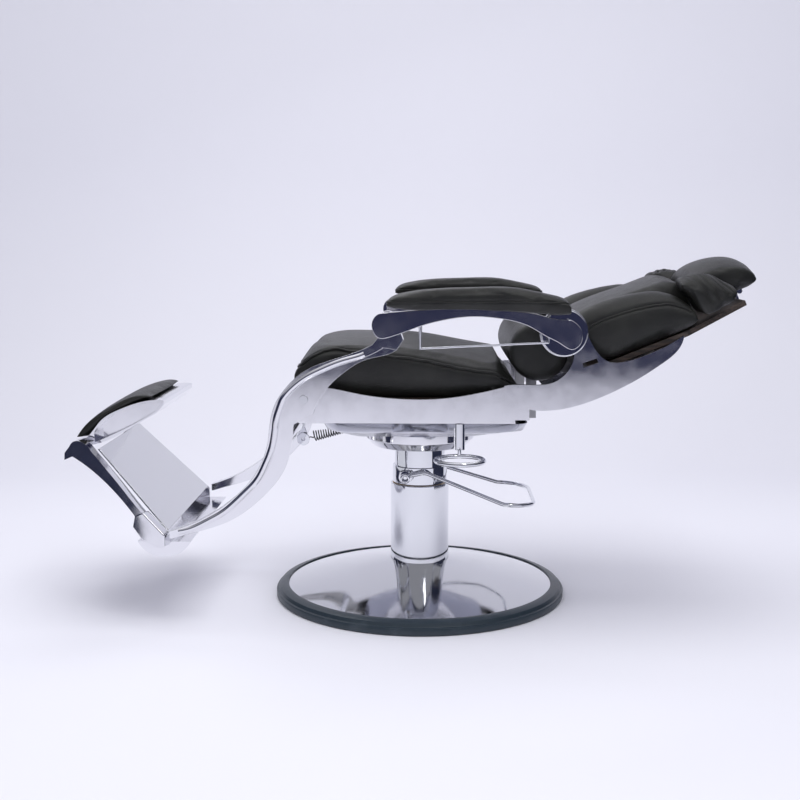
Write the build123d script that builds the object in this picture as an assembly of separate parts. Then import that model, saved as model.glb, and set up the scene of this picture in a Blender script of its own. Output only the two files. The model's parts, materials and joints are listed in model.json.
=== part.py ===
from build123d import *
import math
import os

os.makedirs("parts", exist_ok=True)

# Hydraulic salon chair, lying back as far as it goes, in millimetres.
# Origin: underside of the base, on the axis of the column.
# X runs from the feet (-X) to the head (+X), Z is up.
# Left is the sitter's left, at -Y. Every part is drawn where it lies with the chair reclined and lowered.

# Shared by all parts
overrun = 20.0
seat_gap = 0.3
slip = 0.05
bulge_share, belly_share = 0.12, 0.55
touch_share = 0.001
recline_deg = 52.0

# Hinge points in the side view (X, Z)
knee_x, knee_z = -245.0, 497.0
hip_x, hip_z = 252.0, 580.0
arm_front_x, arm_front_z = -66.0, 664.0
arm_rear_x, arm_rear_z = 303.0, 641.0
toe_x, toe_z = -768.0, 377.0

# Widths of the layers, each measured from the middle plane
panel_inner = 243.0
panel_wall = 8.0
back_plate_inner = 256.0
back_plate_wall = 10.0
leg_inner = 262.0
leg_width = 24.0
arm_inner = 291.0
arm_width = 28.0
arm_pad_middle = 312.0
arm_pad_width = 75.0

# Base
base_radius = 340.0
base_plate_inset = 40.0
base_plate_radius = base_radius - base_plate_inset
base_plate_height = 12.0
base_ring_height = 31.0
base_ring_edge_height = 17.0
base_ring_lip, base_ring_step, base_ring_round = 27.0, 9.0, 3.0
base_ring_groove_share = 0.6
cover_inset = 29.0
cover_radius = base_radius - cover_inset
cover_ledge = 26.0
cover_wall = 2.5
cover_neck_height = 82.0
cover_belly = 4.0
base_bolt_radius = 5.0
base_bolt_tip = 3.0
base_bolt_head_radius = 9.0
base_bolt_head_height = 7.0
base_bolt_circle = 46.0
base_bolt_count = 4

# Column
sleeve_radius = 68.5
sleeve_wall = 4.0
sleeve_top = 267.0
guide_height = 30.0
pump_radius = 59.0
pump_wall = 7.0
pump_bottom = 36.0
pump_top = 395.0
pump_cap = 10.0
gland_height = 20.0
ram_radius = 20.0
ram_top = 338.0
ram_foot_radius = 30.0
ram_foot_height = 6.0
bearing_height = 10.0
piston_height = 12.0
bush_wall = 3.0

# Pump pedal
pedal_x, pedal_z = -33.0, 289.0
pedal_hub_radius = 11.0
pedal_hub_length = 12.0
pedal_hub_inner = 67.0
pedal_pin_radius = 6.0
pedal_pin_recess = 4.0
pedal_rod_radius = 4.75
pedal_hump_x, pedal_hump_rise = 14.0, 13.0
pedal_shoulder_x, pedal_shoulder_half = 190.0, 128.0
pedal_loop_x, pedal_loop_half = 263.0, 142.0
pedal_drop = 54.0
pedal_bends = (26.0, 40.0, 60.0)
collar_wall = 5.0
collar_bottom = 270.0
collar_height = 38.0
collar_lug_radius = 15.0

# Boss and pan under the seat
boss_radius = 127.0
boss_foot_radius = 108.0
boss_height = 43.0
boss_rim_height = 20.0
boss_wall = 5.0
pan_wall = 4.0
pan_middle_height = 24.0
pan_height = 48.0
pan_front, pan_rear = -208.0, 234.0
pan_floor_front, pan_floor_rear = -155.0, 125.0
pan_floor_half = 130.0
pan_middle_front, pan_middle_rear = -203.0, 229.0
pan_middle_half = 200.0
pan_corner = 30.0
mount_plate_size = 170.0
mount_plate_height = 10.0
mount_bolt_circle = 38.0
mount_bolt_radius = 5.0
mount_bolt_head = 9.0

# Seat frame
panel_height = 52.0
panel_top_shares = (
    (-0.90, 0.51), (-0.80, 0.48), (-0.55, 0.25), (-0.21, 0.04), (0.19, 0.04), (0.59, 0.35), (0.80, 0.60),
)
panel_lug_radius = 28.0
panel_boss_x, panel_boss_z = 207.0, 500.0
panel_boss_radius = 29.0
board_height = 15.0
board_bottom = 479.0
board_front, board_rear = -195.0, 178.0
rail_width = 26.0
rail_height = 34.0
front_rail_front = -186.0
hinge_rail_front = 148.0
lug_inner = 162.0
lug_wall = 12.0
lug_eye = 20.0
lug_web, lug_rear = 22.0, 4.4
hinge_rod_radius = 8.0
hinge_rod_half = 180.0
knee_pin_radius = 9.0
knee_pin_inner = 236.0
knee_pin_flange = 13.0

# Release
release_x, release_y = 87.0, 247.0
release_barrel_radius = 12.0
release_barrel_bottom = 387.0
release_stem_radius = 4.0
release_stem_top = 424.0
release_ring_radius = 51.0
release_ring_wire = 5.0
release_ring_z = 372.0

# Seat cushion: start, length, lowest point, height and width
seat_cushion_start, seat_cushion_length = -285.0, 514.0
seat_cushion_bottom, seat_cushion_height = 494.3, 128.0
seat_cushion_half = 247.0
seat_cushion_tuck = 18.0
seat_hollow_shares = (0.0, 0.5, 1.0)
seat_cushion_shares = (
    (0.000, 0.22, 0.34, 0.43, 0.90),
    (0.045, 0.12, 0.62, 0.73, 0.955),
    (0.115, 0.03, 0.80, 0.90, 0.985),
    (0.245, 0.00, 0.87, 0.975, 1.00),
    (0.440, 0.00, 0.80, 0.985, 1.00),
    (0.670, 0.00, 0.64, 0.89, 1.00),
    (0.850, 0.00, 0.52, 0.76, 1.00),
    (0.955, 0.00, 0.44, 0.61, 0.985),
    (1.000, 0.04, 0.26, 0.36, 0.96),
)

# Leg frames
leg_reach, leg_drop = 311.0, 307.0
leg_rim_shares = (
    (0.520, 0.410), (0.367, 0.336), (0.230, 0.290), (0.082, 0.237), (-0.027, 0.174), (-0.125, 0.076),
    (-0.196, -0.036), (-0.227, -0.143), (-0.254, -0.328), (-0.350, -0.542), (-0.552, -0.747),
    (-0.781, -0.883), (-0.956, -0.946),
)
leg_web_upper_shares = (
    (0.640, 0.349), (0.569, 0.314), (0.428, 0.280), (0.292, 0.200), (0.168, 0.086), (0.093, -0.026),
    (0.060, -0.104),
)
leg_web_lower_shares = (
    (-0.071, -0.177), (-0.087, -0.309), (-0.125, -0.464), (-0.280, -0.681), (-0.519, -0.864),
    (-0.759, -0.951), (-0.956, -1.005),
)
leg_rim = 17.0
leg_web_wall = 10.0
leg_eye_radius = 22.0
leg_tongue_shares = (
    (0.509, 0.544), (0.536, 0.461), (0.470, 0.378), (0.640, 0.349), (0.684, 0.417), (0.640, 0.544),
)
leg_hub_radius = 27.0
leg_toe_in_deg = 2.6
arm_pin_radius = 6.5
arm_pin_depth = 14.0
tie_x, tie_z = -287.0, 404.0
tie_radius = 14.0
spring_bolt_x, spring_bolt_z = -274.0, 369.0
spring_bolt_radius = 15.0
spring_bolt_head = 7.0
spring_bolt_shank = 6.0
spring_nut_radius, spring_socket_radius = 10.0, 4.3
spring_bracket_wall = 8.0
spring_bracket_width = 26.0

# Return spring
spring_tail_x, spring_tail_z = -138.0, 396.0
spring_hook_y = 3.5
spring_start_share, spring_end_share = 0.17, 0.80
spring_big_radius = 12.0
spring_small_radius = 4.6
spring_wire_radius = 1.3
spring_curls = 15
spring_steps = 24
spring_slot_front, spring_slot_length, spring_slot_width = -186.0, 94.0, 36.0

# Foot frame
heel_x, heel_z = -551.0, 184.0
heel_half = 240.0
foot_bar_width = 20.0
foot_toe_in_deg = 17.0
foot_overhang, foot_lift = 23.0, 7.0
foot_reach, foot_rise = heel_x - toe_x + foot_overhang, toe_z - heel_z + foot_lift
foot_bar_upper_shares = (
    (-0.200, 0.285), (-0.425, 0.575), (-0.717, 0.945), (-0.808, 1.035), (-0.883, 1.045), (-0.946, 0.980),
)
foot_bar_end_shares = ((-1.000, 0.905), (-1.004, 0.825))
foot_bar_lower_shares = ((-0.917, 0.870), (-0.800, 0.795), (-0.546, 0.575), (-0.275, 0.245))
heel_block_shares = (
    (0.025, 0.070), (-0.190, 0.300), (-0.275, 0.260), (-0.300, 0.125), (-0.205, -0.010), (-0.025, -0.075),
    (0.025, -0.060),
)
heel_block_width = 26.0
plate_angle_deg = 133.2
plate_length = 236.0
plate_start = 12.0
plate_lift = 11.0
plate_wall = 4.0
plate_toe_half = 186.0
heel_beam_radius = 66.0
heel_beam_x, heel_beam_z = -560.0, 206.0
heel_beam_top = 176.0
heel_beam_wall = 4.0
heel_beam_half = 229.0
bracket_size = 34.0
bracket_wall = 4.0

# Flap for the calves
flap_half = 160.0
flap_reach, flap_rise = 250.0, 148.0
toe_rod_radius = 6.0
toe_rod_half = 182.0
knuckle_radius = 10.0
knuckle_length = 40.0
knuckle_offset = 96.0
flap_shell_upper_shares = (
    (0.050, 0.055), (0.150, 0.220), (0.230, 0.385), (0.410, 0.560), (0.590, 0.665), (0.780, 0.700),
)
flap_shell_end_shares = ((0.795, 0.690), (0.795, 0.625))
flap_shell_lower_shares = ((0.724, 0.493), (0.476, 0.250), (0.176, 0.020), (0.060, -0.010))
flap_shell_wall = 5.0
flap_web_place = 118.0
flap_web_wall = 4.0
calf_pad_angle_deg = 30.0
calf_pad_start, calf_pad_length = -6.0, 211.0
calf_pad_low, calf_pad_height = 3.0, 38.0
calf_pad_half = 162.0
calf_pad_tuck = 8.0
calf_pad_shares = (
    (0.000, 0.00, 0.16, 0.28, 0.94),
    (0.090, 0.00, 0.38, 0.54, 0.98),
    (0.236, 0.00, 0.68, 0.86, 1.00),
    (0.500, 0.00, 0.82, 1.00, 1.00),
    (0.760, 0.00, 0.76, 0.94, 1.00),
    (0.930, 0.00, 0.44, 0.60, 0.98),
    (1.000, 0.00, 0.06, 0.14, 0.95),
)

# Back, drawn along its own length (s) and depth (w) from the hip hinge
back_angle_deg = 22.0
back_board_start, back_board_end = 100.0, 478.0
back_board_rear, back_board_wall = -74.0, 12.0
back_board_half, back_board_top_half, back_board_shoulder = 226.0, 118.0, 318.0
back_bar_bend_share = 0.9
back_bar_inner, back_bar_wall = 148.0, 11.0
back_bar_eye = 22.0
back_bar_end = 245.0
back_bar_depth = 16.0
back_tie_place, back_tie_width = 215.0, 24.0
back_plate_reach, back_plate_rise = 304.0, 106.0
back_plate_lower_shares = (
    (-0.235, -0.570), (-0.165, -0.830), (-0.050, -0.981), (0.036, -1.000), (0.155, -0.972), (0.362, -0.811),
    (0.569, -0.547), (0.737, -0.274), (0.839, -0.075), (0.974, 0.283), (1.000, 0.509),
)
back_plate_upper_shares = (
    (0.872, 0.283), (0.701, 0.075), (0.579, -0.019), (0.493, -0.019), (0.424, 0.113), (0.370, 0.330),
    (0.330, 0.560),
)
back_plate_neck_shares = (
    (0.200, 0.420), (0.245, 0.180), (0.194, -0.245), (0.092, -0.443), (-0.059, -0.481), (-0.235, -0.505),
)
back_plate_boss = 46.0
slot_x, slot_z = 361.0, 576.0
slot_length, slot_height, slot_tilt_deg = 32.0, 10.0, 18.0
arm_disc_radius = 51.0
arm_disc_step = 3.0
arm_rear_pin_radius = 8.0
arm_rear_pin_depth = 16.0
shell_wall = 4.0
shell_start = 4
roll_along, roll_depth = 11.0, 13.0
roll_radius = 69.0
roll_half = 238.0
roll_end_radius = 26.0
roll_seam_place = 120.0
roll_seam = 3.0
roll_slot_depth = 26.0
roll_clear = 1.0

panel_pad_start, panel_pad_length = 84.0, 288.0
panel_pad_low, panel_pad_height = -61.7, 118.0
panel_pad_half = 156.0
panel_pad_tuck = 8.0
panel_pad_shares = (
    (0.000, 0.32, 0.70, 0.80, 0.93),
    (0.050, 0.08, 0.84, 0.92, 0.98),
    (0.170, 0.00, 0.91, 0.99, 1.00),
    (0.500, 0.00, 0.90, 1.00, 1.00),
    (0.800, 0.00, 0.88, 0.98, 1.00),
    (0.940, 0.00, 0.80, 0.91, 0.98),
    (1.000, 0.06, 0.64, 0.74, 0.94),
)
bolster_start, bolster_length = 104.0, 248.0
bolster_low, bolster_height = -61.7, 130.0
bolster_middle, bolster_half = 206.0, 46.0
bolster_tuck = 14.0
bolster_shares = (
    (0.000, 0.34, 0.74, 0.90, 0.84),
    (0.055, 0.10, 0.72, 0.97, 0.95),
    (0.190, 0.00, 0.68, 1.00, 1.00),
    (0.500, 0.00, 0.62, 0.94, 1.00),
    (0.760, 0.00, 0.50, 0.80, 0.98),
    (0.900, 0.01, 0.32, 0.60, 0.94),
    (1.000, 0.08, 0.20, 0.30, 0.82),
)
wing_start, wing_length = 306.0, 142.0
wing_low, wing_height = -50.0, 98.0
wing_middle, wing_half = 187.0, 50.0
wing_tuck = 8.0
wing_shares = (
    (0.000, 0.935, 0.955, 0.975, 0.82),
    (0.110, 0.900, 0.935, 0.985, 0.90),
    (0.250, 0.700, 0.860, 0.990, 0.95),
    (0.345, 0.320, 0.720, 1.000, 0.98),
    (0.420, 0.040, 0.600, 0.995, 1.00),
    (0.620, 0.020, 0.520, 0.930, 1.00),
    (0.820, 0.070, 0.400, 0.690, 0.96),
    (0.950, 0.160, 0.300, 0.480, 0.86),
    (1.000, 0.240, 0.300, 0.370, 0.70),
)
wing_clear = 1.5

# Headrest
headrest_start, headrest_length = 374.5, 151.0
headrest_low, headrest_height = -40.0, 90.0
headrest_half = 127.0
headrest_tuck = 10.0
headrest_shares = (
    (0.000, 0.40, 0.66, 0.74, 0.90),
    (0.090, 0.10, 0.74, 0.90, 0.96),
    (0.280, 0.00, 0.76, 0.99, 1.00),
    (0.600, 0.00, 0.68, 0.93, 1.00),
    (0.850, 0.00, 0.50, 0.73, 0.97),
    (0.960, 0.00, 0.30, 0.50, 0.92),
    (1.000, 0.06, 0.18, 0.28, 0.84),
)
strap_half, strap_wall = 20.0, 4.0
strap_start, strap_end = 378.0, 488.0
strap_gap = 1.0
tilt_along, tilt_depth = 492.0, -50.0
tilt_eye, tilt_pin = 6.5, 3.0
tilt_inner_half, tilt_outer_half = 20.0, 34.0
tilt_up_deg, tilt_clear = 9.0, 3.5
tilt_plate_start, tilt_plate_wall = 430.0, 3.5
tilt_reach = 60.0
clamp_start, clamp_length = 424.0, 42.0
clamp_half, clamp_depth = 30.0, 9.0
clamp_screw_radius, clamp_screw_height = 4.0, 6.0
clamp_screw_shares = (0.25, 0.75)

# Armrests
arm_top_shares = (
    (-0.035, 0.92), (0.060, 0.980), (0.186, 1.060), (0.410, 1.115), (0.630, 1.050), (0.850, 0.850),
    (0.985, 0.640),
)
arm_rear_shares = ((1.018, 0.640), (1.072, 0.350), (1.095, -0.090), (1.072, -0.560), (1.040, -0.700))
arm_low_shares = (
    (0.966, -0.420), (0.900, -0.150), (0.798, 0.320), (0.630, 0.680), (0.464, 0.760), (0.298, 0.570),
    (0.184, 0.320), (0.095, 0.050), (0.020, -0.150),
)
arm_front_shares = ((-0.046, -0.200), (-0.082, 0.180), (-0.075, 0.680))
arm_span, arm_drop = 369.0, 46.0
arm_slot_radius = 10.5
arm_slot_depth = 17.0
arm_pad_start, arm_pad_length = -72.0, 388.0
arm_pad_low, arm_pad_height = 672.0, 66.0
arm_pad_tuck = 5.0
arm_pad_shares = (
    (0.000, 0.30, 0.44, 0.52, 0.86),
    (0.030, 0.28, 0.60, 0.70, 0.95),
    (0.110, 0.28, 0.72, 0.84, 1.00),
    (0.300, 0.28, 0.80, 0.95, 1.00),
    (0.520, 0.28, 0.84, 0.99, 1.00),
    (0.720, 0.24, 0.80, 0.95, 1.00),
    (0.900, 0.12, 0.62, 0.76, 1.00),
    (0.980, 0.05, 0.46, 0.58, 0.94),
    (1.000, 0.05, 0.34, 0.42, 0.86),
)
towel_front_x, towel_rear_x = 3.0, 268.0
towel_front_z, towel_rear_z = 607.0, 622.0
towel_rod_radius = 2.2
towel_post_radius = 4.5
towel_post_tip = 2.4
towel_front_share, towel_rear_share = 0.32, 0.02


def side_points(anchor, spans, shares):
    """Points in the side view: shares of two spans, measured from an anchor."""
    return [(anchor[0] + spans[0] * a, 0, anchor[1] + spans[1] * b) for a, b in shares]


def smooth(points):
    """A smooth edge through points in the side view."""
    return Spline(*points)


def closed_face(*pieces):
    """A face in the side view from open runs of points, each run smooth, joined by straight lines."""
    edges = []
    for run in pieces:
        if len(run) > 2:
            edges.append(smooth(run))
        elif len(run) == 2:
            edges.append(Line(run[0], run[1]))
    for run, following in zip(pieces, pieces[1:] + pieces[:1]):
        if (Vector(*run[-1]) - Vector(*following[0])).length > touch_share * seat_gap:
            edges.append(Line(run[-1], following[0]))
    return make_face(edges)


def straight_face(points):
    """A face in the side view with straight sides."""
    return make_face(Polyline(*points, close=True))


def slab(face, near, far):
    """A side-view face made solid between two distances from the middle plane."""
    return extrude(Pos(0, near, 0) * face, amount=far - near, dir=(0, 1, 0))


def disc(x, z, radius, near, far):
    """A round bar along Y."""
    return Pos(x, (near + far) / 2, z) * Rot(90, 0, 0) * Cylinder(radius, far - near)


def block(x, y, z):
    """A box between pairs of coordinates."""
    middle = ((x[0] + x[1]) / 2, (y[0] + y[1]) / 2, (z[0] + z[1]) / 2)
    return Pos(*middle) * Box(x[1] - x[0], y[1] - y[0], z[1] - z[0])


def shifted(points, distance):
    """A run of side-view points moved to the left of its own direction."""
    moved = []
    for i, point in enumerate(points):
        before, after = points[max(i - 1, 0)], points[min(i + 1, len(points) - 1)]
        dx, dz = after[0] - before[0], after[2] - before[2]
        length = math.hypot(dx, dz)
        moved.append((point[0] - dz / length * distance, 0, point[2] + dx / length * distance))
    return moved


def other_side(part):
    """The same part on the other side of the chair."""
    return mirror(part, about=Plane.XZ)


def pair(part):
    """A part and its mirror image as two solids of one node."""
    return Compound(children=[part, other_side(part)])


def ring(outer, inner, bottom, height):
    """A tube standing on the column axis."""
    body = Cylinder(outer, height, align=(Align.CENTER, Align.CENTER, Align.MIN))
    bore = Cylinder(inner, height + 2 * overrun, align=(Align.CENTER, Align.CENTER, Align.MIN))
    return Pos(0, 0, bottom) * (body - Pos(0, 0, -overrun) * bore)


def pillar(radius, bottom, height):
    """A solid round bar standing on the column axis."""
    return Pos(0, 0, bottom) * Cylinder(radius, height, align=(Align.CENTER, Align.CENTER, Align.MIN))


def cushion_section(plane, middle, half, low, seam, crown, tuck):
    """One slice of a cushion: flat underside, sides drawn in at the foot, and a crowned top."""
    foot = half - tuck
    belly = low + (seam - low) * belly_share
    bulge = half + tuck * bulge_share
    points = {
        "foot_left": (middle - foot, low), "foot_right": (middle + foot, low),
        "side_right": (middle + bulge, belly), "seam_right": (middle + half, seam),
        "top": (middle, crown), "seam_left": (middle - half, seam), "side_left": (middle - bulge, belly),
    }
    at = {name: plane.from_local_coords(Vector(y, w, 0)) for name, (y, w) in points.items()}
    return Wire([
        Edge.make_line(at["foot_left"], at["foot_right"]),
        Edge.make_three_point_arc(at["foot_right"], at["side_right"], at["seam_right"]),
        Edge.make_three_point_arc(at["seam_right"], at["top"], at["seam_left"]),
        Edge.make_three_point_arc(at["seam_left"], at["side_left"], at["foot_left"]),
    ])


def cushion(origin, angle_deg, start, length, low, height, middle, half, tuck, shares):
    """A cushion lofted along a direction in the side view, each share row one slice of it."""
    c, s = math.cos(math.radians(angle_deg)), math.sin(math.radians(angle_deg))
    sections = []
    for along, bottom, seam, crown, width in shares:
        reach = start + length * along
        place = (origin[0] + reach * c, 0, origin[1] + reach * s)
        plane = Plane(origin=place, x_dir=(0, 1, 0), z_dir=(c, 0, s))
        levels = [low + height * level for level in (bottom, seam, crown)]
        sections.append(cushion_section(plane, middle, half * width, *levels, tuck))
    body = Part() + Solid.make_loft(sections)
    near, far, deep = start - overrun, start + length + overrun, low - height
    below = ((near, deep), (far, deep), (far, low), (near, low))
    corners = [(origin[0] + a * c - b * s, 0, origin[1] + a * s + b * c) for a, b in below]
    side = half + middle + overrun
    return body - slab(straight_face(corners), -side, side)


def back_point(s, w):
    """A point of the back in the side view: s along it from the hip, w out of its face."""
    c, t = math.cos(math.radians(back_angle_deg)), math.sin(math.radians(back_angle_deg))
    return (hip_x + s * c - w * t, 0, hip_z + s * t + w * c)


def back_block(s, y, w):
    """A box in the back's own directions."""
    corners = [back_point(s[0], w[0]), back_point(s[1], w[0]), back_point(s[1], w[1]), back_point(s[0], w[1])]
    return slab(straight_face(corners), y[0], y[1])


def back_disc(s, w, radius, near, far):
    x, _, z = back_point(s, w)
    return disc(x, z, radius, near, far)


def turned(points):
    """A solid of revolution about the column axis from (radius, height) corners."""
    return revolve(make_face(Polyline(*[(r, 0, z) for r, z in points], close=True)), axis=Axis.Z)


# Base

def base_plate():
    plate = pillar(base_plate_radius, 0, base_plate_height)
    for i in range(base_bolt_count):
        turn = Rot(0, 0, 360 * i / base_bolt_count)
        plate -= turn * Pos(base_bolt_circle, 0, 0) * pillar(base_bolt_radius + slip, base_bolt_tip, overrun)
    return plate


def base_bolts():
    bottom = base_plate_height
    bolts = []
    for i in range(base_bolt_count):
        turn = Rot(0, 0, 360 * i / base_bolt_count)
        shank = pillar(base_bolt_radius, base_bolt_tip, bottom - base_bolt_tip)
        head = pillar(base_bolt_head_radius, bottom, base_bolt_head_height)
        bolts.append(turn * Pos(base_bolt_circle, 0, 0) * (shank + head))
    return Compound(children=bolts)


def base_ring():
    inner = base_plate_radius + slip
    ledge = cover_radius + seat_gap
    groove = base_ring_edge_height + (base_ring_height - base_ring_edge_height) * base_ring_groove_share
    return turned([
        (inner, 0), (base_radius - base_ring_round, 0), (base_radius, base_ring_round),
        (base_radius, base_ring_edge_height), (base_radius - base_ring_step, groove),
        (base_radius - base_ring_lip, base_ring_height), (ledge, base_ring_height), (ledge, cover_ledge),
        (inner, cover_ledge),
    ])


def base_cover():
    low, high = cover_ledge + seat_gap, cover_neck_height
    neck = sleeve_radius + seat_gap
    middle = (cover_radius + neck) / 2
    rise = (low + high) / 2 + cover_belly
    inner_run = [(cover_radius, 0, low), (middle, 0, rise), (neck, 0, high)]
    outer_run = [(r, 0, z + cover_wall) for r, _, z in inner_run]
    outer, inner = ThreePointArc(*outer_run), ThreePointArc(*inner_run)
    ends = [Line(outer @ 0, inner @ 0), Line(outer @ 1, inner @ 1)]
    return revolve(make_face([outer, inner] + ends), axis=Axis.Z)


def outer_sleeve():
    return ring(sleeve_radius, sleeve_radius - sleeve_wall, base_plate_height, sleeve_top - base_plate_height)


def sleeve_guide():
    outer = sleeve_radius - sleeve_wall
    return ring(outer, pump_radius + slip, sleeve_top - guide_height, guide_height)


def thrust_bearing():
    return ring(ram_foot_radius, ram_radius / 2, base_plate_height, bearing_height)


# Ram

def ram():
    foot_bottom = base_plate_height + bearing_height + slip
    foot = pillar(ram_foot_radius, foot_bottom, ram_foot_height)
    spigot = pillar(ram_radius / 2 - slip, base_plate_height + seat_gap, foot_bottom - base_plate_height)
    head = pillar(pump_radius - pump_wall - slip, ram_top - piston_height, piston_height)
    return foot + spigot + head + pillar(ram_radius, foot_bottom, ram_top - foot_bottom)


# Pump and pedal

def pump_body():
    bore = pump_radius - pump_wall
    body = ring(pump_radius, bore, pump_bottom, pump_top - pump_bottom)
    body += pillar(bore, pump_top - pump_cap, pump_cap)
    for y in (-1, 1):
        hole = disc(pedal_x, pedal_z, pedal_pin_radius + slip, 0, pump_radius + overrun)
        body -= hole if y > 0 else other_side(hole)
    return body


def pump_gland():
    return ring(pump_radius - pump_wall, ram_radius + slip, pump_bottom, gland_height)


def pump_collar():
    collar = ring(pump_radius + collar_wall, pump_radius, collar_bottom, collar_height)
    lug = disc(pedal_x, pedal_z, collar_lug_radius, pedal_hub_inner / 2, pedal_hub_inner - seat_gap)
    collar += lug + other_side(lug) - pillar(pump_radius, 0, pump_top)
    near = math.sqrt(pump_radius ** 2 - pedal_x ** 2) - pump_wall / 2
    far = pedal_hub_inner + pedal_hub_length - pedal_pin_recess
    pin = disc(pedal_x, pedal_z, pedal_pin_radius, near, far)
    return collar + pin + other_side(pin)


def pump_pedal():
    start_y = pedal_hub_inner + pedal_hub_length / 2
    start_x = pedal_x + (pedal_hub_radius + pedal_pin_radius) / 2
    half_path = [
        (start_x, start_y, pedal_z + pedal_rod_radius),
        (pedal_hump_x, start_y + pedal_rod_radius, pedal_z + pedal_hump_rise),
        (pedal_shoulder_x, pedal_shoulder_half, pedal_z - pedal_drop + pedal_rod_radius),
        (pedal_loop_x, pedal_loop_half, pedal_z - pedal_drop),
    ]
    points = half_path + [(x, -y, z) for x, y, z in reversed(half_path)]
    bends = list(pedal_bends) + list(reversed(pedal_bends))
    path = FilletPolyline(*points, radius=bends)
    section = Plane(origin=path @ 0, z_dir=path % 0) * Circle(pedal_rod_radius)
    rod = sweep(section, path=path)
    hub = disc(pedal_x, pedal_z, pedal_hub_radius, pedal_hub_inner, pedal_hub_inner + pedal_hub_length)
    bore = disc(pedal_x, pedal_z, pedal_pin_radius + slip, -pedal_loop_x, pedal_loop_x)
    return rod + hub + other_side(hub) - bore


# Boss, pan and mount plate

def seat_boss():
    bottom, top = pump_top - boss_height, pump_top
    inner = pump_radius + seat_gap
    rim = top - boss_rim_height
    outer = turned([
        (inner, bottom), (boss_foot_radius - boss_rim_height * 2, bottom),
        (boss_foot_radius, bottom + boss_wall), (boss_radius, rim), (boss_radius, top), (inner, top),
    ])
    hollow = turned([
        (inner + boss_wall, bottom + boss_wall), (boss_foot_radius - boss_wall, bottom + 2 * boss_wall),
        (boss_radius - boss_wall, rim), (boss_radius - boss_wall, top + overrun),
        (inner + boss_wall, top + overrun),
    ])
    return outer - hollow


def pan_section(front, rear, half, height, inset):
    corner = pan_corner - inset if pan_corner > inset else pan_corner / 2
    face = RectangleRounded(rear - front - 2 * inset, 2 * (half - inset), corner)
    return Pos((front + rear) / 2, 0, pump_top + height) * face


def pan_solid(inset, lift, reach):
    faces = [
        pan_section(pan_floor_front, pan_floor_rear, pan_floor_half, lift, inset),
        pan_section(pan_middle_front, pan_middle_rear, pan_middle_half, pan_middle_height, inset),
        pan_section(pan_front, pan_rear, panel_inner + panel_wall, pan_height, inset),
    ]
    body = loft(faces, ruled=True)
    return body + extrude(faces[-1], amount=reach) if reach else body


def seat_pan():
    pan = pan_solid(0, 0, 0) - pan_solid(pan_wall, pan_wall, overrun)
    for x, y in mount_bolt_places():
        pan -= Pos(x, y, 0) * pillar(mount_bolt_radius + slip, pump_top - overrun, 2 * overrun)
    slot = (spring_slot_front, spring_slot_front + spring_slot_length)
    half = spring_slot_width / 2
    pan -= block(slot, (-half, half), (pump_top - overrun, pump_top + pan_middle_height))
    return pan


def mount_bolt_places():
    return [(mount_bolt_circle * a, mount_bolt_circle * b) for a in (-1, 1) for b in (-1, 1)]


def mount_plate():
    half = mount_plate_size / 2
    bottom = pump_top + pan_wall
    plate = block((-half, half), (-half, half), (bottom, bottom + mount_plate_height))
    for x, y in mount_bolt_places():
        plate -= Pos(x, y, 0) * pillar(mount_bolt_radius + slip, bottom - overrun, 2 * overrun)
    return plate


def mount_bolts():
    top = pump_top + pan_wall + mount_plate_height
    bolts = []
    for x, y in mount_bolt_places():
        bolt = pillar(mount_bolt_radius, pump_top, top - pump_top)
        bolt += pillar(mount_bolt_head, top, mount_bolt_radius)
        bolts.append(Pos(x, y, 0) * bolt)
    return Compound(children=bolts)


# Seat frame

panel_bottom = pump_top + pan_height


def panel_solid(grow):
    """A side panel without its pin hole, grown on every side that the cushion meets."""
    near, far = panel_inner - grow, panel_inner + panel_wall + grow
    upper = side_points((0, panel_bottom + panel_height), (-knee_x, panel_height), panel_top_shares)
    lower = [(panel_boss_x, 0, panel_bottom), (knee_x, 0, panel_bottom)]
    plate = slab(closed_face(shifted(upper, grow), lower), near, far)
    plate += disc(knee_x, knee_z, panel_lug_radius + grow, near, far)
    plate += disc(panel_boss_x, panel_boss_z, panel_boss_radius + grow, near, far)
    rear = (panel_boss_x - panel_boss_radius, panel_boss_x + panel_boss_radius)
    plate += block(rear, (near, far), (panel_bottom + panel_wall, panel_boss_z))
    front = (knee_x - panel_lug_radius / 2, knee_x + panel_lug_radius)
    return plate + block(front, (near, far), (panel_bottom, knee_z))


def seat_panel():
    far = panel_inner + panel_wall + overrun
    return panel_solid(0) - disc(knee_x, knee_z, knee_pin_radius + slip, 0, far)


def seat_board():
    return block((board_front, board_rear), (-panel_inner + seat_gap, panel_inner - seat_gap),
                 (board_bottom, board_bottom + board_height))


def front_rail():
    front, top = front_rail_front, board_bottom
    rail = block((front, front + rail_width), (-panel_inner, panel_inner), (top - rail_height, top))
    side = panel_inner + overrun
    inside = (top - rail_height + pan_wall, top - pan_wall)
    return rail - block((front + pan_wall, front + rail_width + overrun), (-side, side), inside)


def hinge_rail():
    front, top = hinge_rail_front, board_bottom
    rail = block((front, front + rail_width), (-panel_inner, panel_inner), (top - rail_height, top))
    lug = disc(hip_x, hip_z, lug_eye, lug_inner, lug_inner + lug_wall)
    rear = hip_x + lug_rear
    lug += block((rear - lug_web, rear), (lug_inner, lug_inner + lug_wall), (top - rail_height, hip_z))
    lug += block((front + rail_width, rear), (lug_inner, lug_inner + lug_wall), (top - rail_height, top))
    lug -= disc(hip_x, hip_z, hinge_rod_radius + slip, 0, hip_x)
    return rail + lug + other_side(lug)


def knee_pins():
    far = leg_inner + leg_width / 2
    pin = disc(knee_x, knee_z, knee_pin_radius, knee_pin_inner, far)
    pin += disc(knee_x, knee_z, knee_pin_flange, knee_pin_inner, panel_inner)
    return pair(pin)


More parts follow.
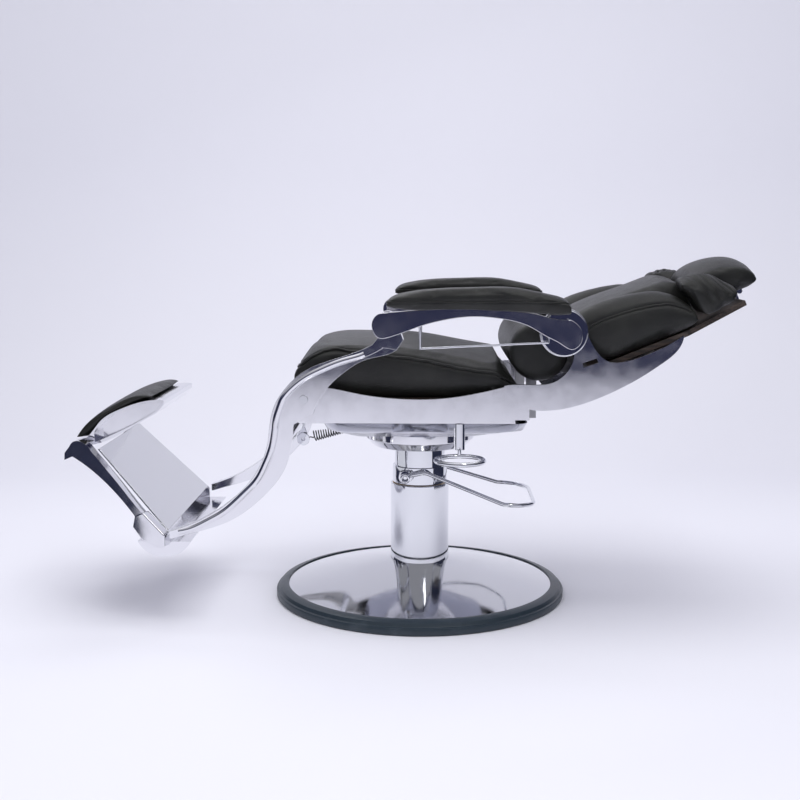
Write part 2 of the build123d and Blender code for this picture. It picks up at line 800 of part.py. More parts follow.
def seat_cushion():
    body = cushion((0, 0), 0, seat_cushion_start, seat_cushion_length, seat_cushion_bottom,
                   seat_cushion_height, 0, seat_cushion_half, seat_cushion_tuck, seat_cushion_shares)
    # The rear is hollowed where the lumbar roll turns past it.
    x, _, z = back_point(roll_along, roll_depth)
    for share in seat_hollow_shares:
        turn = math.radians(recline_deg * share)
        dx, dz = x - hip_x, z - hip_z
        px = hip_x + dx * math.cos(turn) - dz * math.sin(turn)
        pz = hip_z + dx * math.sin(turn) + dz * math.cos(turn)
        body -= disc(px, pz, roll_radius + roll_clear, -hip_x - overrun, hip_x + overrun)
    room = panel_solid(seat_gap)
    room += disc(knee_x, knee_z, knee_pin_flange + roll_clear, knee_pin_inner - roll_clear, panel_inner)
    lugs = (lug_inner - roll_clear, lug_inner + lug_wall + roll_clear)
    room += disc(hip_x, hip_z, lug_eye + roll_clear, *lugs)
    lug_front = hip_x + lug_rear - lug_web - roll_clear
    room += block((lug_front, hip_x + lug_rear + overrun), lugs, (board_bottom, hip_z))
    return body - room - other_side(room)


# Release

def release_barrel():
    height = pan_height + pump_top - release_barrel_bottom
    barrel = Cylinder(release_barrel_radius, height, align=(Align.CENTER, Align.CENTER, Align.MIN))
    bore = Cylinder(release_stem_radius + slip, 2 * height, align=(Align.CENTER, Align.CENTER, Align.MIN))
    part = Pos(release_x, -release_y, release_barrel_bottom) * (barrel - Pos(0, 0, -height / 2) * bore)
    return part - pan_solid(0, 0, 0)


def release_ring():
    middle = -release_y - release_ring_radius
    loop = Pos(release_x, middle, release_ring_z) * Torus(release_ring_radius, release_ring_wire)
    height = release_stem_top - release_ring_z
    stem = Cylinder(release_stem_radius, height, align=(Align.CENTER, Align.CENTER, Align.MIN))
    return loop + Pos(release_x, -release_y, release_ring_z) * stem


# Leg frames

def leg_frame():
    anchor, spans = (knee_x, knee_z), (leg_reach, leg_drop)
    rim = side_points(anchor, spans, leg_rim_shares)
    upper = side_points(anchor, spans, leg_web_upper_shares)
    lower = side_points(anchor, spans, leg_web_lower_shares)
    tongue = side_points(anchor, spans, leg_tongue_shares)
    middle = leg_inner + leg_width / 2
    near, far = middle - leg_web_wall / 2, middle + leg_web_wall / 2
    web = slab(closed_face(rim, list(reversed(lower)), list(reversed(upper))), near, far)
    band = slab(closed_face(rim, list(reversed(shifted(rim, leg_rim)))), leg_inner, leg_inner + leg_width)
    frame = web + band + slab(straight_face(tongue), leg_inner, leg_inner + leg_width)
    frame += disc(arm_front_x, arm_front_z, leg_eye_radius, leg_inner, leg_inner + leg_width)
    frame = Pos(arm_front_x, middle, 0) * Rot(0, 0, leg_toe_in_deg) * Pos(-arm_front_x, -middle, 0) * frame
    frame += disc(knee_x, knee_z, leg_hub_radius, panel_inner + panel_wall + seat_gap, near)
    frame -= disc(knee_x, knee_z, knee_pin_radius + slip, 0, leg_inner + leg_width / 2 + slip)
    return frame - disc(arm_front_x, arm_front_z, arm_pin_radius + slip, 0, arm_inner + overrun)


def arm_front_pins():
    pin = disc(arm_front_x, arm_front_z, arm_pin_radius, leg_inner + leg_width / 4, arm_inner + arm_pin_depth)
    return pair(pin)


def leg_tie():
    turn = math.radians(leg_toe_in_deg)
    drop = (arm_front_x - tie_x + tie_radius) * math.tan(turn) + leg_web_wall / 2 / math.cos(turn)
    half = leg_inner + leg_width / 2 - drop
    return disc(tie_x, tie_z, tie_radius, -half, half) + spring_bracket()


def spring_bracket():
    dx, dz = spring_bolt_x - tie_x, spring_bolt_z - tie_z
    length = math.hypot(dx, dz)
    ux, uz = dx / length, dz / length
    half = spring_bracket_width / 2
    side_x, side_z = uz * half, ux * half
    corners = [(tie_x - side_x, 0, tie_z + side_z), (spring_bolt_x - side_x, 0, spring_bolt_z + side_z),
               (spring_bolt_x + side_x, 0, spring_bolt_z - side_z), (tie_x + side_x, 0, tie_z - side_z)]
    wall = spring_bracket_wall
    plate = slab(straight_face(corners), -wall, 0) + disc(tie_x, tie_z, tie_radius + wall / 2, -wall, 0)
    plate += disc(spring_bolt_x, spring_bolt_z, half, -wall, 0)
    plate -= disc(tie_x, tie_z, tie_radius, -overrun, overrun)
    return plate - disc(spring_bolt_x, spring_bolt_z, spring_bolt_shank + slip, -overrun, overrun)


def spring_bolt():
    wall, head = spring_bracket_wall, spring_bolt_head
    bolt = disc(spring_bolt_x, spring_bolt_z, spring_bolt_radius, -wall - head, -wall)
    bolt += disc(spring_bolt_x, spring_bolt_z, spring_bolt_shank, -wall, head)
    bolt += disc(spring_bolt_x, spring_bolt_z, spring_nut_radius, head, 2 * head)
    socket = extrude(RegularPolygon(spring_socket_radius, 6), amount=head / 2, both=True)
    return bolt - Pos(spring_bolt_x, -wall - head, spring_bolt_z) * Rot(90, 0, 0) * socket


def spring_axis():
    """The spring's axis: its start at the bolt, its unit direction in the side view, and its length."""
    dx, dz = spring_tail_x - spring_bolt_x, spring_tail_z - spring_bolt_z
    length = math.hypot(dx, dz)
    return (dx / length, dz / length), length


def spring_place(share):
    """Centre of the wire and its direction at a share of the tapered winding."""
    (ux, uz), length = spring_axis()
    span = length * (spring_end_share - spring_start_share)
    along = length * spring_start_share + span * share
    shrink = spring_small_radius - spring_big_radius
    radius = spring_big_radius + shrink * share
    turn = 2 * math.pi * spring_curls * share
    rate = 2 * math.pi * spring_curls
    side, up = radius * math.cos(turn), radius * math.sin(turn)
    side_rate = shrink * math.cos(turn) - radius * rate * math.sin(turn)
    up_rate = shrink * math.sin(turn) + radius * rate * math.cos(turn)
    x, z = spring_bolt_x + ux * along - uz * up, spring_bolt_z + uz * along + ux * up
    place = Vector(x, side + spring_hook_y, z)
    direction = Vector(ux * span - uz * up_rate, side_rate, uz * span + ux * up_rate).normalized()
    return place, direction


def biarc(start, start_direction, end, end_direction):
    """Two tangent arcs from one directed point to another."""
    chord = end - start
    total = start_direction + end_direction
    spread = 2 * (1 - start_direction.dot(end_direction))
    reach = (-chord.dot(total) + math.sqrt(chord.dot(total) ** 2 + spread * chord.dot(chord))) / spread
    joint = (start + end + (start_direction - end_direction) * reach) * 0.5
    joint_direction = (end - end_direction * reach) - (start + start_direction * reach)
    first = Edge.make_tangent_arc(start, start_direction, joint)
    return [first, Edge.make_tangent_arc(joint, joint_direction, end)]


def return_spring():
    (ux, uz), length = spring_axis()
    axis = Vector(ux, 0, uz)
    wire = 2 * spring_wire_radius
    bolt = Vector(spring_bolt_x, spring_hook_y, spring_bolt_z)
    first = bolt + axis * (spring_bolt_shank + seat_gap)
    tail = bolt + axis * length
    places = [spring_place(i / (4 * spring_curls)) for i in range(4 * spring_curls + 1)]
    edges = [Edge.make_line(first, first + axis * wire)]
    edges += biarc(first + axis * wire, axis, *places[0])
    for here, there in zip(places, places[1:]):
        edges += biarc(*here, *there)
    hook = length * (1 - spring_end_share) / 2
    edges += biarc(*places[-1], tail - axis * hook, axis)
    edges.append(Edge.make_line(tail - axis * hook, tail))
    path = Wire(edges)
    section = Plane(origin=first, z_dir=axis) * Circle(spring_wire_radius)
    gap = least_gap(path)
    print("return spring: least gap to itself", round(gap, 2), "mm, wire", round(path.length, 1), "mm")
    return sweep(section, path=path)


def least_gap(path):
    """The least gap of a round wire to itself, measured on points along its middle."""
    count = spring_curls * spring_steps
    points = [path @ (i / count) for i in range(count + 1)]
    apart = spring_steps // 2
    nearest = min((a - b).length for i, a in enumerate(points) for b in points[i + apart:])
    return nearest - 2 * spring_wire_radius


# Foot frame

def heel_block():
    points = side_points((heel_x, heel_z), (foot_reach, foot_rise), heel_block_shares)
    near = heel_half - (heel_block_width - foot_bar_width) / 2
    part = slab(straight_face(points), near, near + heel_block_width)
    return foot_turn(part) - leg_frame()


def foot_turn(part):
    """Foot parts on the right side lean in towards the toe about the heel."""
    return Pos(heel_x, heel_half, 0) * Rot(0, 0, foot_toe_in_deg) * Pos(-heel_x, -heel_half, 0) * part


def foot_bar():
    anchor, spans = (heel_x, heel_z), (foot_reach, foot_rise)
    upper = side_points(anchor, spans, foot_bar_upper_shares)
    end = side_points(anchor, spans, foot_bar_end_shares)
    lower = side_points(anchor, spans, foot_bar_lower_shares)
    part = slab(closed_face(upper, end, lower), heel_half, heel_half + foot_bar_width)
    points = side_points(anchor, spans, heel_block_shares)
    part -= slab(straight_face(points), heel_half - overrun, heel_half + foot_bar_width + overrun)
    part = foot_turn(part)
    return part - disc(toe_x, toe_z, toe_rod_radius + slip, 0, toe_rod_half + seat_gap)


def plate_frame():
    angle = math.radians(plate_angle_deg)
    t = Vector(math.cos(angle), 0, math.sin(angle))
    n = Vector(math.sin(angle), 0, -math.cos(angle))
    return Plane(origin=(heel_x, 0, heel_z), x_dir=t, z_dir=n)


def foot_plate():
    end = plate_start + plate_length
    heel = heel_half - (heel_block_width - foot_bar_width) / 2 - seat_gap
    corners = [(plate_start, heel), (end, plate_toe_half), (end, -plate_toe_half), (plate_start, -heel)]
    face = plate_frame() * Pos(0, 0, plate_lift) * make_face(Polyline(*corners, close=True))
    return extrude(face, amount=plate_wall)


def heel_beam():
    half = heel_beam_half
    round_bar = disc(heel_beam_x, heel_beam_z, heel_beam_radius, -half, half)
    inner = disc(heel_beam_x, heel_beam_z, heel_beam_radius - heel_beam_wall, -half - overrun, half + overrun)
    reach, side = heel_beam_radius + overrun, half + 2 * overrun
    along, across = (heel_beam_x - reach, heel_beam_x + reach), (-side, side)
    top = block(along, across, (heel_beam_top, heel_beam_z + reach))
    lid = block(along, across, (heel_beam_top - heel_beam_wall, heel_beam_z + reach))
    return (round_bar - top) - (inner - lid) - heel_block() - other_side(heel_block())


# Flap

def toe_rod():
    return disc(toe_x, toe_z, toe_rod_radius, -toe_rod_half, toe_rod_half)


def flap_shell():
    anchor, spans = (toe_x, toe_z), (flap_reach, flap_rise)
    upper = side_points(anchor, spans, flap_shell_upper_shares)
    end = side_points(anchor, spans, flap_shell_end_shares)
    lower = side_points(anchor, spans, flap_shell_lower_shares)
    outline = closed_face(upper, end, lower)
    hollow = closed_face(shifted(upper, -flap_shell_wall)[1:], shifted(lower, -flap_shell_wall)[:-1])
    shell = slab(outline, -flap_half, flap_half) - slab(hollow, -flap_half - overrun, flap_half + overrun)
    web = slab(outline, flap_web_place, flap_web_place + flap_web_wall)
    shell += web + other_side(web)
    knuckle = disc(toe_x, toe_z, knuckle_radius, knuckle_offset, knuckle_offset + knuckle_length)
    (high_x, _, high_z), (low_x, _, low_z) = upper[0], lower[-1]
    arm = straight_face([
        (toe_x, 0, toe_z + knuckle_radius), (high_x + flap_shell_wall, 0, high_z + flap_shell_wall),
        (low_x + flap_shell_wall, 0, low_z), (toe_x, 0, toe_z - knuckle_radius / 2),
    ])
    knuckle += slab(arm, knuckle_offset, knuckle_offset + knuckle_length)
    shell += knuckle + other_side(knuckle)
    return shell - disc(toe_x, toe_z, toe_rod_radius + slip, -toe_rod_half, toe_rod_half)


def calf_pad():
    pad = cushion((toe_x, toe_z), calf_pad_angle_deg, calf_pad_start, calf_pad_length,
                  calf_pad_low, calf_pad_height, 0, calf_pad_half, calf_pad_tuck, calf_pad_shares)
    anchor, spans = (toe_x, toe_z), (flap_reach, flap_rise)
    upper = side_points(anchor, spans, flap_shell_upper_shares)
    above = shifted(upper, seat_gap)
    front, deep = toe_x - overrun, toe_z - overrun
    far, last_z = above[-1][0] + overrun, above[-1][2]
    seat = closed_face(above, [(far, 0, last_z), (far, 0, deep)], [(front, 0, deep), (front, 0, above[0][2])])
    low = toe_z + knuckle_radius + seat_gap
    arm_x, arm_z = upper[0][0] + flap_shell_wall + seat_gap, upper[0][2] + flap_shell_wall + seat_gap
    corners = [(front, deep), (arm_x, deep), (arm_x, arm_z), (toe_x, low), (front, low)]
    room = straight_face([(x, 0, z) for x, z in corners])
    side = calf_pad_half + overrun
    return pad - slab(seat, -side, side) - slab(room, -side, side)


# Back

def back_plate():
    anchor, spans = (hip_x, hip_z), (back_plate_reach, back_plate_rise)
    lower = side_points(anchor, spans, back_plate_lower_shares)
    upper = side_points(anchor, spans, back_plate_upper_shares)
    neck = side_points(anchor, spans, back_plate_neck_shares)
    near, far = back_plate_inner, back_plate_inner + back_plate_wall
    plate = slab(closed_face(lower, upper, neck), near, far)
    plate += disc(arm_rear_x, arm_rear_z, back_plate_boss, near, far)
    slot = Rot(0, -slot_tilt_deg, 0) * Box(slot_length, 2 * overrun, slot_height)
    plate -= Pos(slot_x, (near + far) / 2, slot_z) * slot
    return plate - disc(arm_rear_x, arm_rear_z, arm_rear_pin_radius + slip, 0, far + overrun)


def arm_disc():
    near = back_plate_inner + back_plate_wall + seat_gap
    part = disc(arm_rear_x, arm_rear_z, arm_disc_radius - arm_disc_step, near, arm_inner - seat_gap)
    part += disc(arm_rear_x, arm_rear_z, arm_disc_radius, near, near + (arm_inner - near) / 2)
    return part - disc(arm_rear_x, arm_rear_z, arm_rear_pin_radius + slip, 0, arm_inner + overrun)


def arm_rear_pins():
    near = back_plate_inner - panel_wall / 2
    pin = disc(arm_rear_x, arm_rear_z, arm_rear_pin_radius, near, arm_inner + arm_rear_pin_depth)
    return pair(pin)


def back_shell():
    lower = side_points((hip_x, hip_z), (back_plate_reach, back_plate_rise), back_plate_lower_shares)
    outer = lower[shell_start:-1]
    face = closed_face(outer, list(reversed(shifted(outer, shell_wall))))
    half = back_plate_inner - seat_gap
    return slab(face, -half, half)


def back_board():
    edge = [(back_board_start, back_board_half), (back_board_shoulder, back_board_half),
            (back_board_end, back_board_top_half)]
    corners = edge + [(s, -y) for s, y in reversed(edge)]
    c, t = math.cos(math.radians(back_angle_deg)), math.sin(math.radians(back_angle_deg))
    origin = back_point(0, back_board_rear)
    plane = Plane(origin=origin, x_dir=(c, 0, t), z_dir=(-t, 0, c))
    return extrude(plane * make_face(Polyline(*corners, close=True)), amount=back_board_wall)


def back_frame():
    rear = back_board_rear - seat_gap
    deep = rear - back_bar_depth
    near, far = back_bar_inner, back_bar_inner + back_bar_wall
    outline = [(-back_bar_eye, 0), (0, -back_bar_eye), (back_board_start * back_bar_bend_share, deep),
               (back_bar_end, deep), (back_bar_end, rear), (back_board_start, rear), (back_bar_eye, 0)]
    bar = slab(straight_face([back_point(s, w) for s, w in outline]), near, far)
    bar += back_disc(0, 0, back_bar_eye, near, far)
    frame = bar + other_side(bar)
    half = back_plate_inner - seat_gap
    for place in (back_board_start, back_tie_place):
        frame += back_block((place, place + back_tie_width), (-half, half), (deep, rear))
    reach = hinge_rod_half + overrun
    return frame - disc(hip_x, hip_z, hinge_rod_radius, -reach, reach)


def hinge_rod():
    return disc(hip_x, hip_z, hinge_rod_radius, -hinge_rod_half, hinge_rod_half)


def lumbar_roll():
    half, r, e = roll_half, roll_radius, roll_end_radius
    bend = e * math.sin(math.pi / 4)
    edges = [Line((0, -half, 0), (0, half, 0)), Line((r, half - e, 0), (r, e - half, 0))]
    for side in (-1, 1):
        edges.append(Line((0, side * half, 0), (r - e, side * half, 0)))
        middle = (r - e + bend, side * (half - e + bend), 0)
        edges.append(ThreePointArc((r - e, side * half, 0), middle, (r, side * (half - e), 0)))
    x, _, z = back_point(roll_along, roll_depth)
    roll = Pos(x, 0, z) * revolve(make_face(edges), axis=Axis.Y)
    for y in (-roll_seam_place, roll_seam_place):
        roll -= Pos(x, y, z) * Rot(90, 0, 0) * Torus(roll_radius, roll_seam)
    near, far = back_bar_inner - roll_clear, lug_inner + lug_wall + roll_clear
    reach = roll_radius + overrun
    slot = back_block((-reach, back_board_start), (near, far), (-2 * reach, roll_slot_depth))
    roll -= slot + other_side(slot)
    side = hinge_rod_half + seat_gap
    return roll - disc(hip_x, hip_z, hinge_rod_radius + seat_gap, -side, side)


def back_pad(start, length, low, height, middle, half, tuck, shares):
    return cushion((hip_x, hip_z), back_angle_deg, start, length, low, height, middle, half, tuck, shares)


def tilt_room():
    """The wedge past the centre pad that the headrest needs when it tilts up."""
    low, high = headrest_start - tilt_clear, headrest_start + overrun
    top = panel_pad_low + panel_pad_height + overrun
    lean = (top - tilt_depth) * math.tan(math.radians(tilt_up_deg))
    corners = [(low, tilt_depth), (high, tilt_depth), (high, top), (low - lean, top)]
    side = panel_pad_half + overrun
    return slab(straight_face([back_point(s, w) for s, w in corners]), -side, side)


def centre_pad():
    return back_pad(panel_pad_start, panel_pad_length, panel_pad_low, panel_pad_height, 0, panel_pad_half,
                    panel_pad_tuck, panel_pad_shares) - tilt_room()


def bolster():
    body = back_pad(bolster_start, bolster_length, bolster_low, bolster_height, bolster_middle, bolster_half,
                    bolster_tuck, bolster_shares)
    inner = panel_pad_half + panel_pad_tuck * bulge_share + roll_clear
    reach = bolster_start + bolster_length + overrun
    depth = (bolster_low - overrun, bolster_low + 2 * bolster_height)
    return body - back_block((0, reach), (0, inner), depth)


def wing():
    body = back_pad(wing_start, wing_length, wing_low, wing_height, wing_middle, wing_half, wing_tuck,
                    wing_shares)
    return body - bolster() - centre_pad()


# Headrest

def headrest_strap():
    rear = back_board_rear - strap_gap
    y = (-strap_half, strap_half)
    strap = back_block((strap_start, strap_end), y, (rear - strap_wall, rear))
    strap += back_block((strap_end - strap_wall, strap_end), y, (rear - strap_wall, tilt_depth))
    strap += back_block((strap_end - strap_wall, tilt_along), y, (tilt_depth - strap_wall, tilt_depth))
    strap += back_disc(tilt_along, tilt_depth, tilt_eye, -tilt_inner_half, tilt_inner_half)
    return strap - back_disc(tilt_along, tilt_depth, tilt_pin + slip, -tilt_reach, tilt_reach)


def headrest_clamp():
    rear = back_board_rear - seat_gap
    end = clamp_start + clamp_length
    body = back_block((clamp_start, end), (-clamp_half, clamp_half), (rear - clamp_depth, rear))
    deep = back_board_rear - strap_gap - strap_wall - slip
    side = strap_half + slip
    return body - back_block((clamp_start - overrun, end + overrun), (-side, side), (deep, rear + overrun))


def clamp_screws():
    rear = back_board_rear - seat_gap - clamp_depth
    c, t = math.cos(math.radians(back_angle_deg)), math.sin(math.radians(back_angle_deg))
    screws = []
    for share in clamp_screw_shares:
        for side in (-1, 1):
            x, _, z = back_point(clamp_start + clamp_length * share, rear - clamp_screw_height)
            y = side * (clamp_half + strap_half) / 2
            plane = Plane(origin=(x, y, z), z_dir=(-t, 0, c))
            screws.append(extrude(plane * Circle(clamp_screw_radius), amount=clamp_screw_height))
    return Compound(children=screws)


def headrest_bracket():
    top, rear = headrest_low, headrest_low - tilt_plate_wall
    half, end = tilt_outer_half, tilt_along + tilt_eye
    near = tilt_inner_half + seat_gap
    bracket = back_block((tilt_plate_start, end), (-half, half), (rear, top - seat_gap))
    ear = back_disc(tilt_along, tilt_depth, tilt_eye, near, half)
    ear += back_block((tilt_along - tilt_eye, end), (near, half), (tilt_depth, top - seat_gap))
    bracket += ear + other_side(ear)
    return bracket + back_disc(tilt_along, tilt_depth, tilt_pin, -half, half)


def headrest_cushion():
    return back_pad(headrest_start, headrest_length, headrest_low, headrest_height, 0, headrest_half,
                    headrest_tuck, headrest_shares)


# Armrests

def arm_outline():
    anchor, spans = (arm_front_x, arm_rear_z), (arm_span, arm_drop)
    sides = (arm_top_shares, arm_rear_shares, arm_low_shares, arm_front_shares)
    return [side_points(anchor, spans, shares) for shares in sides]


def arm_casting():
    top, rear, low, front = arm_outline()
    outline = closed_face(top + rear + low + front + [top[0]])
    far = arm_inner + arm_width
    part = slab(outline, arm_inner, far)
    part -= disc(arm_rear_x, arm_rear_z, arm_rear_pin_radius + slip, 0, arm_inner + arm_rear_pin_depth + slip)
    return part - disc(arm_front_x, arm_front_z, arm_slot_radius, 0, arm_inner + arm_slot_depth)


def arm_pad():
    pad = cushion((0, 0), 0, arm_pad_start, arm_pad_length, arm_pad_low, arm_pad_height, arm_pad_middle,
                  arm_pad_width / 2, arm_pad_tuck, arm_pad_shares)
    above = shifted(arm_outline()[0], seat_gap)
    deep = arm_rear_z - arm_drop
    seat = closed_face(above, [(above[-1][0], 0, deep), (above[0][0], 0, deep)])
    pad -= slab(seat, arm_inner - 2 * overrun, arm_inner + arm_width + 2 * overrun)
    # The pad turns past the disc that carries the armrest.
    return pad - disc(arm_rear_x, arm_rear_z, arm_disc_radius + roll_clear, 0, arm_inner)


def towel_bar():
    y = -(arm_inner + arm_width / 2)
    lift = (Align.CENTER, Align.CENTER, Align.MIN)
    front_height = arm_rear_z + arm_drop * towel_front_share - towel_front_z + overrun
    rear_height = arm_rear_z + arm_drop * towel_rear_share - towel_rear_z + overrun
    post = Cone(towel_post_tip, towel_post_radius, front_height, align=lift)
    end = Cylinder(towel_rod_radius, rear_height, align=lift)
    start_point = Vector(towel_front_x, y, towel_front_z + towel_rod_radius)
    end_point = Vector(towel_rear_x, y, towel_rear_z)
    direction = end_point - start_point
    section = Plane(origin=start_point, z_dir=direction) * Circle(towel_rod_radius)
    rod = extrude(section, amount=direction.length)
    rod += Pos(*end_point) * Sphere(towel_rod_radius)
    bar = Pos(towel_front_x, y, towel_front_z) * post + Pos(towel_rear_x, y, towel_rear_z) * end + rod
    return bar - other_side(arm_casting())


def write(name, part):
    export_step(part, f"parts/{name}.step")


write("base_plate", base_plate())
write("base_bolts", base_bolts())
write("base_rubber_ring", base_ring())
write("base_cover", base_cover())
write("outer_sleeve", outer_sleeve())
write("sleeve_guide_bush", sleeve_guide())
write("thrust_bearing", thrust_bearing())
write("hydraulic_ram", ram())
write("pump_body", pump_body())
write("pump_gland", pump_gland())
write("pump_collar", pump_collar())
write("pump_pedal", pump_pedal())
write("seat_boss", seat_boss())
write("seat_pan", seat_pan())
write("mount_plate", mount_plate())
write("mount_bolts", mount_bolts())
write("seat_side_panel_right", seat_panel())
write("seat_side_panel_left", other_side(seat_panel()))
write("seat_board", seat_board())
write("seat_front_rail", front_rail())
write("seat_hinge_rail", hinge_rail())
write("knee_pins", knee_pins())
write("seat_cushion", seat_cushion())
write("release_barrel", release_barrel())
write("release_ring", release_ring())
write("leg_frame_right", leg_frame())
write("leg_frame_left", other_side(leg_frame()))
write("arm_front_pins", arm_front_pins())
write("leg_cross_tie", leg_tie())
write("spring_bolt", spring_bolt())
write("return_spring", return_spring())
write("heel_blocks", pair(heel_block()))
write("foot_bars", pair(foot_bar()))
write("foot_plate", foot_plate())
write("heel_beam", heel_beam())
write("toe_hinge_rod", toe_rod())
write("flap_shell", flap_shell())
write("calf_pad", calf_pad())
write("back_side_plate_right", back_plate())
write("back_side_plate_left", other_side(back_plate()))
write("arm_pivot_discs", pair(arm_disc()))
write("arm_rear_pins", arm_rear_pins())
write("back_shell", back_shell())
write("back_board", back_board())
write("back_frame", back_frame())
write("back_hinge_rod", hinge_rod())
write("lumbar_roll", lumbar_roll())
write("back_centre_pad", centre_pad())
write("back_bolsters", pair(bolster()))
write("back_wings", pair(wing()))
write("headrest_strap", headrest_strap())
write("headrest_clamp", headrest_clamp())
write("clamp_screws", clamp_screws())
write("headrest_bracket", headrest_bracket())
write("headrest_cushion", headrest_cushion())
write("arm_casting_right", arm_casting())
write("arm_casting_left", other_side(arm_casting()))
write("arm_pad_right", arm_pad())
write("arm_pad_left", other_side(arm_pad()))
write("towel_bar", towel_bar())
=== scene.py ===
# %% [markdown]
# # A hydraulic salon chair, dressed in Blender
#
# The real chair is a frame of cast and pressed metal on a hydraulic column, with leather pads stuffed with foam.
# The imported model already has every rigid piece, its place and the body that it moves with, so the chair isn't
# modelled again here. This script rounds and polishes the metal, stuffs and stitches the pads, and sets up the
# floor, the light and the camera. Lengths are in metres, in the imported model's own frame.

import json
import math

import bmesh
import bpy
from mathutils import Matrix, Vector
from mathutils.bvhtree import BVHTree
from mathutils.kdtree import KDTree


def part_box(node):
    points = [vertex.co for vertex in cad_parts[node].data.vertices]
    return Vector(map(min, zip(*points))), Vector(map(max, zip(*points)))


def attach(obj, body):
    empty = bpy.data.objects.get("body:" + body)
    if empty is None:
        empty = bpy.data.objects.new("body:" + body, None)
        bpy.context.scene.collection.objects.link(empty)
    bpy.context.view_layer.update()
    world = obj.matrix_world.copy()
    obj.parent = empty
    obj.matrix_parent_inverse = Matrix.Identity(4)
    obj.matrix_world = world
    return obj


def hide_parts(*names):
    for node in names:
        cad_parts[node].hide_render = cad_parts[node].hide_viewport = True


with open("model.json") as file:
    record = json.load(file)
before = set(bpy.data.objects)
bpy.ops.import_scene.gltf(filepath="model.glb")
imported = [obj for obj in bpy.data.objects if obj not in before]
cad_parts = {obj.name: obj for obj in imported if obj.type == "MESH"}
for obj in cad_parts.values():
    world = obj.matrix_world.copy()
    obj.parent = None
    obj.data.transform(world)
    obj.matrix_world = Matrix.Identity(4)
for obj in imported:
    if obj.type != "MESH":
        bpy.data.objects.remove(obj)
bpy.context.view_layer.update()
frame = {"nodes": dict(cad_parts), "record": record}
nodes = frame["nodes"]
body_of = {node: body for body, members in frame["record"]["behaviour"]["bodies"].items() for node in members}
slot_of = {part["node"]: part["material_slot"] for part in frame["record"]["subparts"]}
scene = bpy.context.scene

# %% [markdown]
# ## Shader maths
#
# Haze, grain and wear come from patterns that each material works out for itself. Such sums could be wired node
# by node, but that takes many lines and hides what is meant. A small class wraps one socket and overloads the
# operators instead, so that a sum is written as on paper and each operator adds one Math node.


# %% A socket that can be used in sums
def add_node(tree, kind, settings=None, sockets=None, output=0):
    """One new node: its settings first, then a value or a link for each of its sockets."""
    made = tree.nodes.new(kind)
    for name, value in (settings or {}).items():
        setattr(made, name, value)
    for place, value in (sockets or {}).items():
        if isinstance(value, Value):
            tree.links.new(value.socket, made.inputs[place])
        else:
            made.inputs[place].default_value = value
    return Value(tree, made.outputs[output])


class Value:
    """A shader socket that can be written in Python sums."""

    def __init__(self, tree, socket):
        self.tree, self.socket = tree, socket

    def math(self, operation, *others):
        return add_node(self.tree, "ShaderNodeMath", {"operation": operation}, dict(enumerate((self,) + others)))

    def __add__(self, other):
        return self.math("ADD", other)

    def __sub__(self, other):
        return self.math("SUBTRACT", other)

    def __rsub__(self, other):
        return self * -1.0 + other

    def __mul__(self, other):
        return self.math("MULTIPLY", other)

    __radd__, __rmul__ = __add__, __mul__

    def sine(self):
        return self.math("SINE")

    def root(self):
        return self.math("SQRT")

    def step(self, low, high):
        """0 below low, 1 above high, smooth between them."""
        return add_node(self.tree, "ShaderNodeMapRange", {"interpolation_type": "SMOOTHSTEP"},
                        {"Value": self, "From Min": low, "From Max": high}, "Result")


print("sockets can be added, taken away and multiplied")


# %% A material that varies over the piece
class Surface:
    """A Principled material whose patterns follow the object coordinates."""

    def __init__(self, name, **constants):
        self.material = bpy.data.materials.new(name)
        self.material.use_nodes = True
        self.tree = self.material.node_tree
        self.shader = self.tree.nodes["Principled BSDF"]
        for socket, value in constants.items():
            self.shader.inputs[socket.replace("_", " ")].default_value = value
        self.place = self.node("ShaderNodeTexCoord", output="Object")

    def node(self, kind, settings=None, sockets=None, output=0):
        return add_node(self.tree, kind, settings, sockets, output)

    def feed(self, socket, value):
        self.tree.links.new(value.socket, self.shader.inputs[socket])

    def axis(self, letter):
        return self.node("ShaderNodeSeparateXYZ", {}, {0: self.place}, letter)

    def stretched(self, *scales):
        """The object coordinates, each axis with its own scale."""
        return self.node("ShaderNodeVectorMath", {"operation": "MULTIPLY"}, {0: self.place, 1: scales})

    def noise(self, size, detail=3.0, place=None):
        """Soft noise from 0 to 1, with blobs of about the given size."""
        sockets = {"Vector": place or self.place, "Scale": 1.0 / size, "Detail": detail}
        return self.node("ShaderNodeTexNoise", {}, sockets, "Fac")

    def pebbles(self, size):
        """Distance to the edge of irregular cells of about the given size."""
        sockets = {"Vector": self.place, "Scale": 1.0 / size}
        return self.node("ShaderNodeTexVoronoi", {"feature": "DISTANCE_TO_EDGE"}, sockets, "Distance")

    def mixed(self, share, low, high):
        """A colour between two colours."""
        sockets = {"Factor": share, "A": (*low, 1.0), "B": (*high, 1.0)}
        return self.node("ShaderNodeMix", {"data_type": "RGBA"}, sockets, "Result")

    def bump(self, height, depth):
        """Relief of the given depth, in metres, from a height of 0 to 1."""
        self.feed("Normal", self.node("ShaderNodeBump", {}, {"Height": height, "Distance": depth}, "Normal"))


print("materials can read their piece's coordinates")

# %% [markdown]
# ## Metal finishes
#
# The castings are polished aluminium, and the column, pins and loops are chromed steel. A perfect mirror looks
# like a computer's metal, because a buffing wheel leaves haze and a faint waviness. So the roughness wanders
# between two values, and a very shallow bump bends the reflections a little. Turned pieces get fine tool marks.


# %% Metals
haze_size, haze_detail, haze_from, haze_to = 0.03, 4.0, 0.3, 0.75
wave_size, wave_detail = 0.06, 1.0
ring_pitch, ring_wander, ring_depth = 2400.0, 6.0, 0.000004


